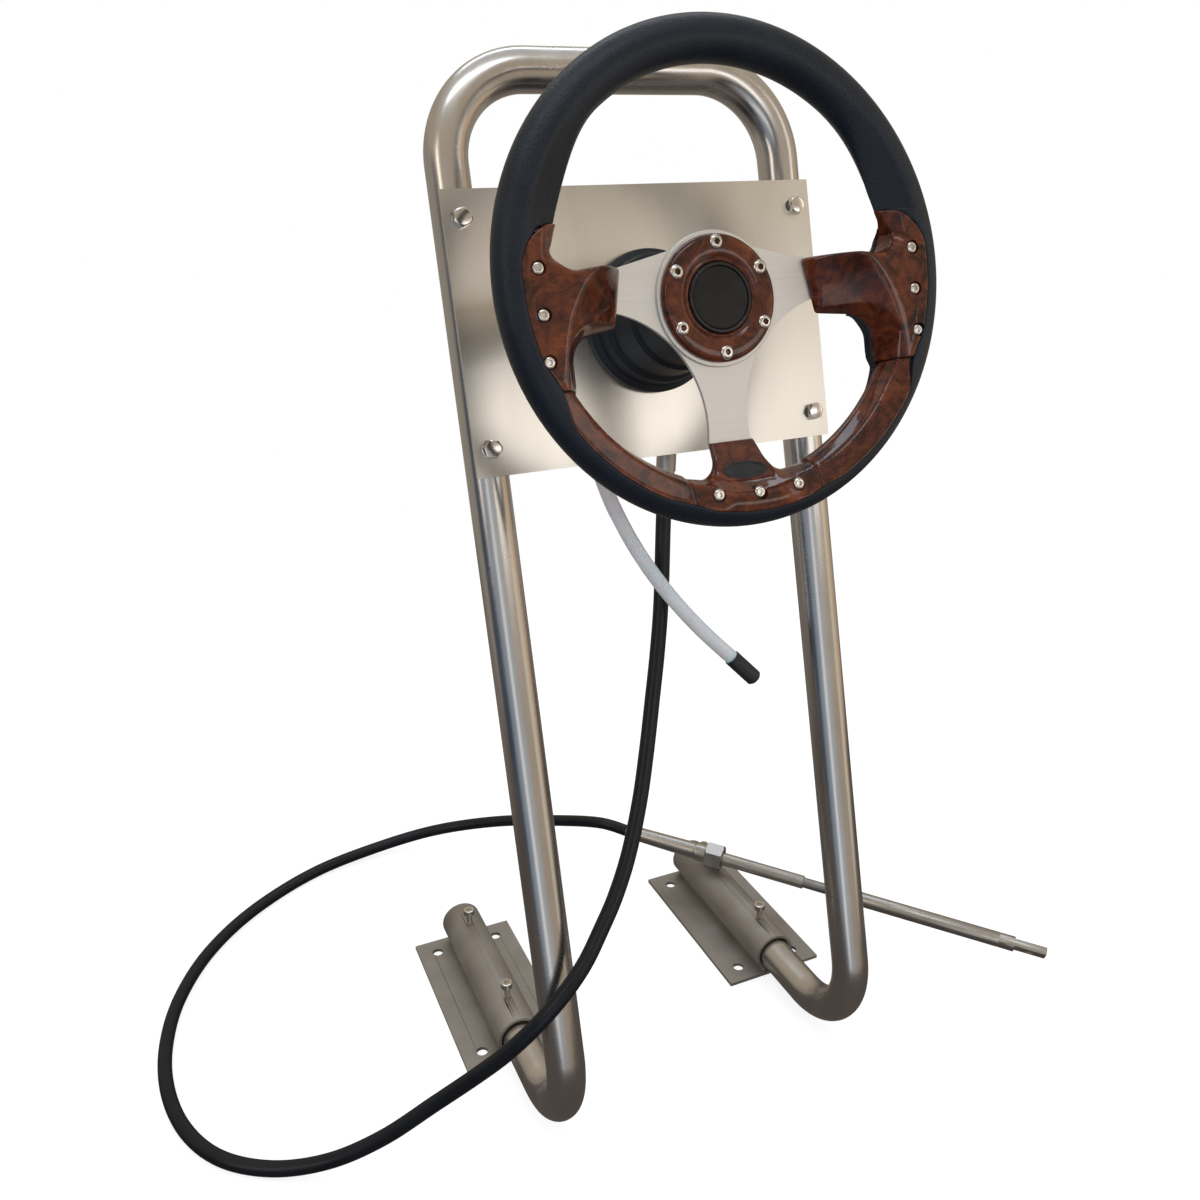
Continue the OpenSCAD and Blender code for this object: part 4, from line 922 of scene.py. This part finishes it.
def shell_back(x, y):
    """The flat back of an arc of wood."""
    return np.full_like(x, SHELL_BACK)


def arc_top(x, y):
    """Front of an arc of wood: an outer and a steep inner face that meet in a crease."""
    rho = rim_distance(x, y)
    outer = ARC_CREASE_Z + ARC_OUTER_SLOPE * (rho - ARC_CREASE_R)
    inner = ARC_CREASE_Z - ARC_INNER_SLOPE * (ARC_CREASE_R - rho)
    return soft_min(soft_min(torus_z(rho), outer, FACE_BLEND), inner, FACE_BLEND)


def polar_to_rim(x, y):
    """A point's angle about the rim's centre, in degrees."""
    return math.degrees(math.atan2(y - RIM_RISE, x))


def low_seam_angle(x):
    """The angle at which the wood's outer edge meets a seam of the lower trim."""
    return -math.degrees(math.acos(x / (LOW_WOOD_R - LOW_SEAM_DIP)))


def make_arc_trims():
    """The arcs of wood between the side trims and the lower one."""
    top = SEAM_Y - SEAM_GAP
    side = SEAM_X + SEAM_GAP
    start = polar_to_rim(math.sqrt(ARC_INNER_R ** 2 - (top - RIM_RISE) ** 2), top)
    end = polar_to_rim(side, RIM_RISE - math.sqrt(ARC_INNER_R ** 2 - side ** 2))
    outer = outer_edge(low_seam_angle(side), seam_angle(top), 60)
    inner = arc((0, RIM_RISE), ARC_INNER_R, start, end, 60)
    crease = arc((0, RIM_RISE), ARC_CREASE_R, start, end, 90)
    form = plan_solid([(outer, 0.8), (inner, 1.2)], arc_top, shell_back, lines=[crease])
    piece("burl_arc_right", form, "burl_wood", "wheel", ["arc_trim_right"])
    piece("burl_arc_left", mirrored(form), "burl_wood", "wheel", ["arc_trim_left"])


LOWER_CREASE_SLOPE = 1.6
LOWER_CREASE_BLEND = 2.0
LOWER_BACK_Y = -101.0
LOWER_BACK_END = -126.5
LOWER_BACK_SLOPE = 0.4706
LOWER_INNER_Y = -121.5
LOWER_FILLET_C = (34.5, -109.0)
LOWER_FILLET_R = 15.5


def lower_top(x, y):
    """Front of the lower trim: a slope down to its hub end, with the front of the arcs at its sides."""
    rho = rim_distance(x, y)
    slope = LOWER_END_Z + (LOWER_END_Y - y) * LOWER_SLOPE
    crease = ARC_CREASE_Z - LOWER_CREASE_SLOPE * (ARC_CREASE_R - rho)
    lug = soft_min(torus_z(rho), soft_max(slope, crease, LOWER_CREASE_BLEND), FACE_BLEND)
    share = ease(np.abs(x), 20, 36)
    return (1 - share) * lug + share * arc_top(x, y)


def lower_back(x, y):
    """Back of the lower trim: flat on the spoke, then rising to the rim."""
    rise = np.minimum(BACK_START + (LOWER_BACK_Y - y) * LOWER_BACK_SLOPE, SHELL_BACK)
    return np.where(y > LOWER_BACK_Y, SPOKE_SEAT, np.where(y > LOWER_BACK_END, rise, SHELL_BACK))


def make_lower_trim():
    """The wood over the lower spoke."""
    right = [(SEAM_X, LOWER_INNER_Y), *arc(LOWER_FILLET_C, LOWER_FILLET_R, 262, 180, 20)]
    left = [(-x, y) for x, y in reversed(right)]
    half = outer_edge(-90, low_seam_angle(SEAM_X), 30)
    outer = [(-x, y) for x, y in reversed(half[1:])] + half
    edges = [(outer, 0.8), (right, 1.6), ([(LOWER_END_HALF, LOWER_END_Y)], 1.2),
             ([(-LOWER_END_HALF, LOWER_END_Y)] + left, 1.6)]
    form = plan_solid(edges, lower_top, lower_back, LOWER_SCREWS, LOWER_SEAT)
    piece("burl_trim_lower", form, "burl_wood", "wheel", ["trim_bottom"])


HUB_RING_DISH = [(31.5, 0.0), (30.2, 0.25), (29.0, 1.0), (28.2, 1.7), (27.6, 1.9), (27.2, 1.5),
                 (26.4, 1.25), (25.6, 1.5), (HUB_RING_BORE, 2.2)]


def make_hub_ring():
    """The disc of the hub, and the wood ring on it with a groove round its bore."""
    disc = [(HUB_DISC_BORE, HUB_DISC_BACK), (HUB_DISC_R, HUB_DISC_BACK), (HUB_DISC_R, HUB_DISC_TOP),
            (HUB_DISC_BORE, HUB_DISC_TOP)]
    piece("hub_disc", lathe(rounded(disc, 0.7), HUB_COUNT), "spoke_alloy", "wheel", ["hub_ring"])
    profile = [(HUB_RING_BORE, HUB_DISC_TOP), (HUB_RING_R, HUB_DISC_TOP)]
    profile += arc((HUB_RING_R - HUB_RING_ROUND, HUB_RING_FRONT - HUB_RING_ROUND), HUB_RING_ROUND, 0, 90, 10)
    profile += [(radius, HUB_RING_FRONT - depth) for radius, depth in HUB_RING_DISH]
    piece("burl_hub_ring", lathe(profile, HUB_COUNT), "burl_wood", "wheel", ["hub_ring"])


def make_screws():
    """The screws of the wood and of the hub, each turned its own way."""
    trim = button_screw(head_r=4.3, height=2.4, shank_r=2.0, tail=-9.0)
    places = [(side * x, y, SIDE_SEAT) for side in (-1, 1) for x, y in SIDE_SCREWS]
    places += [(x, y, LOWER_SEAT) for x, y in LOWER_SCREWS]
    screws = [shifted(trim, *place, TRIM_SCREW_TURN * k) for k, place in enumerate(places)]
    piece("trim_screw_set", gather(screws), "bright_screws", "wheel", ["trim_screws"])
    hub = button_screw(head_r=5.1, height=2.75, shank_r=2.5, tail=-15.0)
    places = arc((0, 0), HUB_SCREW_CIRCLE, 90, 390, 5)
    screws = [shifted(hub, x, y, HUB_SCREW_SEAT, HUB_SCREW_TURN * k) for k, (x, y) in enumerate(places)]
    piece("hub_screw_set", gather(screws), "bright_screws", "wheel", ["hub_screws"])


# Rim

SWELL = 9.0
SWELL_AT = 170.0
SWELL_HALF = 80.0
SWELL_FLAT = 14.6
SWELL_FLAT_FROM = -4.0
SWELL_FLAT_SLOPE = 0.8
WOOD_GAP = 0.15
BACK_TURN = 217.8
FREE_TURN = 160.0
SLIT = 0.4
EDGE_TURN = 4.0
EDGE_DEPTH = 0.5
FRONT_STEPS = 52
BEHIND_STEPS = 14
RIM_STEPS = 432
TIP_STEP = 0.05


def swell_share(angle):
    """How far the thumb grip has swollen at an angle up from the horizontal."""
    return float(ease(np.array(angle), 52, 22) * ease(np.array(angle), -30, -8))


def wood_rho(angle):
    """Distance of the rubber's edge at the wood from the rim's centre, or zero without wood."""
    if angle > TIP_END:
        return 0.0
    if angle <= TIP_TURN:
        return outer_rho(angle) + WOOD_GAP
    rise = TIP_C[1] - RIM_RISE
    along = TIP_C[0] * math.cos(math.radians(angle)) + rise * math.sin(math.radians(angle))
    square = TIP_C[0] ** 2 + rise ** 2 - (TIP_R + WOOD_GAP) ** 2
    return along + math.sqrt(max(along ** 2 - square, 0))


def rim_section(turn, up):
    """One section of the rim, with the recess that the wood lies in."""
    limit = wood_rho(up) - RIM_R
    wood = limit > -RIM_SECTION
    recess = RECESS_R if wood else RIM_SECTION
    start = BACK_TURN - 360
    end = math.degrees(math.acos(min(1, limit / RIM_SECTION))) if wood else FREE_TURN
    reach = end - start - 2 * SLIT
    outline = [(start + SLIT + reach * k / FRONT_STEPS, RIM_SECTION) for k in range(FRONT_STEPS + 1)]
    reach = BACK_TURN - end - 2 * SLIT
    outline += [(end + SLIT + reach * k / BEHIND_STEPS, recess) for k in range(BEHIND_STEPS + 1)]
    share = swell_share(up)
    ring = []
    for b, radius in outline:
        edge_gap = abs(b - end)
        if wood and radius == RIM_SECTION and edge_gap < EDGE_TURN:
            radius -= EDGE_DEPTH * (1 - edge_gap / EDGE_TURN) ** 2
        u = radius * math.cos(math.radians(b))
        v = radius * math.sin(math.radians(b))
        if not wood or b < 0:
            bump = max(0.0, 1 - abs((b + 720) % 360 - SWELL_AT) / SWELL_HALF)
            u -= SWELL * share * bump * bump * (3 - 2 * bump)
            if u < SWELL_FLAT_FROM:
                flat = SWELL_FLAT - SWELL_FLAT_SLOPE * (SWELL_FLAT_FROM - u)
                v = min(v, v + share * (flat - v))
        if not wood:
            u = max(u, limit)
        rho = RIM_R + u
        ring.append((rho * math.cos(turn), RIM_RISE + rho * math.sin(turn), RIM_MID + v))
    return ring


def make_rim():
    """The rim's rubber, with two more sections at each tip of the wood."""
    step = 360 / RIM_STEPS
    angles = [-90 + step * k for k in range(RIM_STEPS)]
    for tip in (TIP_END, 180 - TIP_END):
        angles += [tip - TIP_STEP, tip + TIP_STEP]
    rings = []
    for angle in sorted(angles):
        up = angle if angle <= 90 else 180 - angle
        rings.append(rim_section(math.radians(angle), up))
    piece("rim_grip", stack(rings, closed=True), "rim_black", "wheel", ["wheel_rim"], sharp=40)


BADGE_RINGS = ((0, -1.4), (0, 0.35), (-0.35, 0.6), (-1.0, 0.6), (-1.3, 0.3), (-3.4, 0.62), (-5.0, 0.7))
BADGE_COUNT = 72


def make_badge():
    """A bare oval plate with a raised, rounded border and a slightly domed face."""
    slope = math.atan(LOWER_SLOPE)
    level = LOWER_END_Z + (LOWER_END_Y - BADGE_Y) * LOWER_SLOPE
    rings = []
    for grow, height in BADGE_RINGS:
        ring = []
        for x, y, _ in circles([(1.0, 0)], BADGE_COUNT)[0]:
            across = (BADGE_HALF[0] + grow) * x
            along = (BADGE_HALF[1] + grow) * y
            ring.append((across, BADGE_Y + along * math.cos(slope) + height * math.sin(slope),
                         level - along * math.sin(slope) + height * math.cos(slope)))
        rings.append(ring)
    piece("badge_oval", stack(rings), "badge_dark", "wheel", ["badge"])


# Light and floor

WARM = (0.34, 0.30, 0.25)
WORLD_BANDS = [
    (-180, -100, WARM), (-97, -63, (0.035, 0.055, 0.095)), (-60, -36, (0.27, 0.32, 0.38)),
    (-33, -24, (1.1, 1.1, 1.1)), (-21, 0, (0.44, 0.47, 0.5)), (6, 37, (0.45, 0.365, 0.285)),
    (42, 42, (0.26, 0.215, 0.17)), (48, 66, (0.75, 0.67, 0.53)), (70, 88, (0.68, 0.455, 0.28)),
    (95, 180, WARM)]
WALL = (0.45, 0.38, 0.29)
ZENITH = (0.58, 0.55, 0.52)
NADIR = (0.15, 0.13, 0.115)
SOFT_SKY = (0.76, 0.776, 0.8)
SOFT_GROUND = (0.3, 0.3, 0.3)
# Painted reflection: the dark warm glow that the floor gives only to glossy rays, near the front and further back.
PAINTED_REFLECTION_NEAR = (0.1, 0.084, 0.076)
PAINTED_REFLECTION_FAR = (0.2, 0.17, 0.145)


def mix_colour(tree, factor, first, second):
    """Two colours or sockets mixed by a factor."""
    ends = [(*end, 1.0) if isinstance(end, tuple) else end for end in (first, second)]
    return add(tree, "Mix", {"Factor": factor, 6: ends[0], 7: ends[1]}, data_type="RGBA").outputs[2]


def between(tree, value, low, high, kind="LINEAR"):
    """How far a value has come from low to high, as a share."""
    return add(tree, "MapRange", {"Value": value, "From Min": low, "From Max": high},
               interpolation_type=kind).outputs["Result"]


def make_world():
    """A room of soft upright bands that metal mirrors, and white where the camera looks past the part."""
    world = bpy.data.worlds.new("studio")
    world.use_nodes = True
    tree = world.node_tree
    tree.nodes.clear()
    way = add(tree, "SeparateXYZ", {"Vector": add(tree, "TexCoord").outputs["Generated"]})
    up = way.outputs["Z"]
    front = add(tree, "Math", {0: way.outputs["Y"], 1: -1.0}, operation="MULTIPLY").outputs[0]
    azimuth = add(tree, "Math", {0: way.outputs["X"], 1: front}, operation="ARCTAN2").outputs[0]
    stops = []
    for start, end, colour in WORLD_BANDS:
        stops += [((angle + 180) / 360, colour) for angle in sorted({start, end})]
    bands = ramp(tree, between(tree, azimuth, -math.pi, math.pi), stops)
    walls = mix_colour(tree, between(tree, up, 0.22, 0.36, "SMOOTHSTEP"), bands, WALL)
    upper = mix_colour(tree, between(tree, up, 0.58, 0.9, "SMOOTHSTEP"), walls, ZENITH)
    mirrored_room = mix_colour(tree, between(tree, up, -0.4, -0.65, "SMOOTHSTEP"), upper, NADIR)
    soft_light = mix_colour(tree, between(tree, up, 0.0, -0.1), SOFT_SKY, SOFT_GROUND)
    path = add(tree, "LightPath")
    room = add(tree, "Background", {"Color": mirrored_room})
    soft = add(tree, "Background", {"Color": soft_light})
    white = add(tree, "Background", {"Color": (1.0, 1.0, 1.0, 1.0)})
    lit = add(tree, "MixShader", {0: path.outputs["Is Diffuse Ray"], 1: room.outputs[0], 2: soft.outputs[0]})
    seen = add(tree, "MixShader", {0: path.outputs["Is Camera Ray"], 1: lit.outputs[0], 2: white.outputs[0]})
    add(tree, "OutputWorld", {"Surface": seen.outputs[0]})
    scene.world = world


def make_floor():
    """A floor that the camera sees as white with a faint shadow, and that metal sees as a painted reflection: a
    dark warm glow, darker towards the front.
    """
    side, near, far = 1.4, -0.52, 1.5
    mesh = bpy.data.meshes.new("floor")
    mesh.from_pydata([(-side, near, 0), (side, near, 0), (side, far, 0), (-side, far, 0)], [], [(0, 1, 2, 3)])
    tree, _ = new_material("floor")
    tree.nodes.clear()
    path = add(tree, "LightPath")
    pale = add(tree, "BsdfDiffuse", {"Color": (0.36, 0.36, 0.36, 1.0)})
    white = add(tree, "Emission", {"Color": (0.8, 0.8, 0.8, 1.0)})
    place = add(tree, "SeparateXYZ", {"Vector": add(tree, "TexCoord").outputs["Object"]})
    # Painted reflection: to glossy rays the floor glows a dark warm tone, darker towards the front, in place of
    # its own pale colour.
    painted_reflection = mix_colour(tree, between(tree, place.outputs["Y"], 0.1, 0.45), PAINTED_REFLECTION_NEAR, PAINTED_REFLECTION_FAR)
    reflection_glow = add(tree, "Emission", {"Color": painted_reflection})
    shown = add(tree, "AddShader", {0: pale.outputs[0], 1: white.outputs[0]})
    dim = add(tree, "MixShader", {0: path.outputs["Is Glossy Ray"], 1: pale.outputs[0], 2: reflection_glow.outputs[0]})
    both = add(tree, "MixShader", {0: path.outputs["Is Camera Ray"], 1: dim.outputs[0], 2: shown.outputs[0]})
    add(tree, "OutputMaterial", {"Surface": both.outputs[0]})
    mesh.materials.append(materials["floor"])
    floor = bpy.data.objects.new("floor", mesh)
    scene.collection.objects.link(floor)


def make_lamp(name, place, aim, size, power, colour):
    """A soft rectangular lamp that the camera doesn't see."""
    data = bpy.data.lights.new(name, "AREA")
    data.shape = "RECTANGLE"
    data.size, data.size_y = size
    data.energy = power
    data.color = colour
    lamp = bpy.data.objects.new(name, data)
    lamp.location = place
    lamp.rotation_euler = (Vector(aim) - Vector(place)).to_track_quat("-Z", "Y").to_euler()
    lamp.visible_camera = False
    scene.collection.objects.link(lamp)


def make_lamps():
    """Soft lamps above, at both sides, in front and behind."""
    make_lamp("overhead", (-0.3, -0.6, 2.3), (0, -0.1, 0.5), (1.5, 0.3), 5.0, (0.94, 0.97, 1.0))
    make_lamp("left", (-1.9, -0.9, 1.3), (0, -0.1, 0.5), (0.35, 1.3), 3.4, (1.0, 0.88, 0.76))
    make_lamp("right", (1.7, -1.2, 1.4), (0, -0.1, 0.5), (0.35, 1.2), 1.5, (1.0, 0.97, 0.94))
    make_lamp("front", (0.70, -1.9, 1.05), (0, -0.1, 0.6), (1.3, 0.36), 2.6, (1.0, 0.99, 0.97))
    make_lamp("behind_top", (0.3, 0.8, 2.2), (0, -0.1, 0.7), (1.6, 0.3), 4.5, (0.76, 0.88, 1.0))


# CAD nodes that stay

def soften(node, width):
    """Small rounded edges on a CAD node."""
    obj = nodes[node]
    weld = obj.modifiers.new("weld", "WELD")
    weld.merge_threshold = 0.00001
    bevel = obj.modifiers.new("bevel", "BEVEL")
    bevel.width = width * MM
    bevel.segments = 2
    bevel.limit_method = "ANGLE"
    bevel.angle_limit = math.radians(40)
    bevel.harden_normals = True


SOFT_EDGES = {
    "base_plate_left": 0.4, "base_plate_right": 0.4, "socket_left": 0.5, "socket_right": 0.5,
    "plate_nuts": 0.4, "helm_case": 0.8, "case_cover": 0.8, "cover_screws": 0.3, "cable_ferrule": 0.4,
    "spent_fitting": 0.6, "spent_tube_cap": 0.6, "ram_tube": 0.3, "ram_end": 0.4, "spoke_plate": 0.5,
    "cap_ring": 0.3, "hub_adapter": 0.5}


def dress_nodes():
    """The record's finish on each CAD node that stays."""
    for part in frame["record"]["subparts"]:
        for slot in nodes[part["node"]].material_slots:
            slot.material = materials[part["material_slot"]]
    for node, width in SOFT_EDGES.items():
        soften(node, width)


make_camera()
make_materials()
ram = [nodes[name] for name in ("ram_rod", "ram_tube", "ram_end")]
make_cord("cable_cord", CABLE_ROUTE, CABLE_D, "jacket_black", "cable_jacket", [make_output(), *ram])
make_cord("spent_cord", SPENT_ROUTE, SPENT_D, "milky_plastic", "spent_tube", [nodes["spent_tube_cap"]])
make_stand()
make_set_screws()
make_bolts()
make_bezel()
make_side_trims()
make_backing()
make_arc_trims()
make_lower_trim()
make_hub_ring()
make_screws()
make_rim()
make_badge()
dress_nodes()
make_world()
make_floor()
make_lamps()
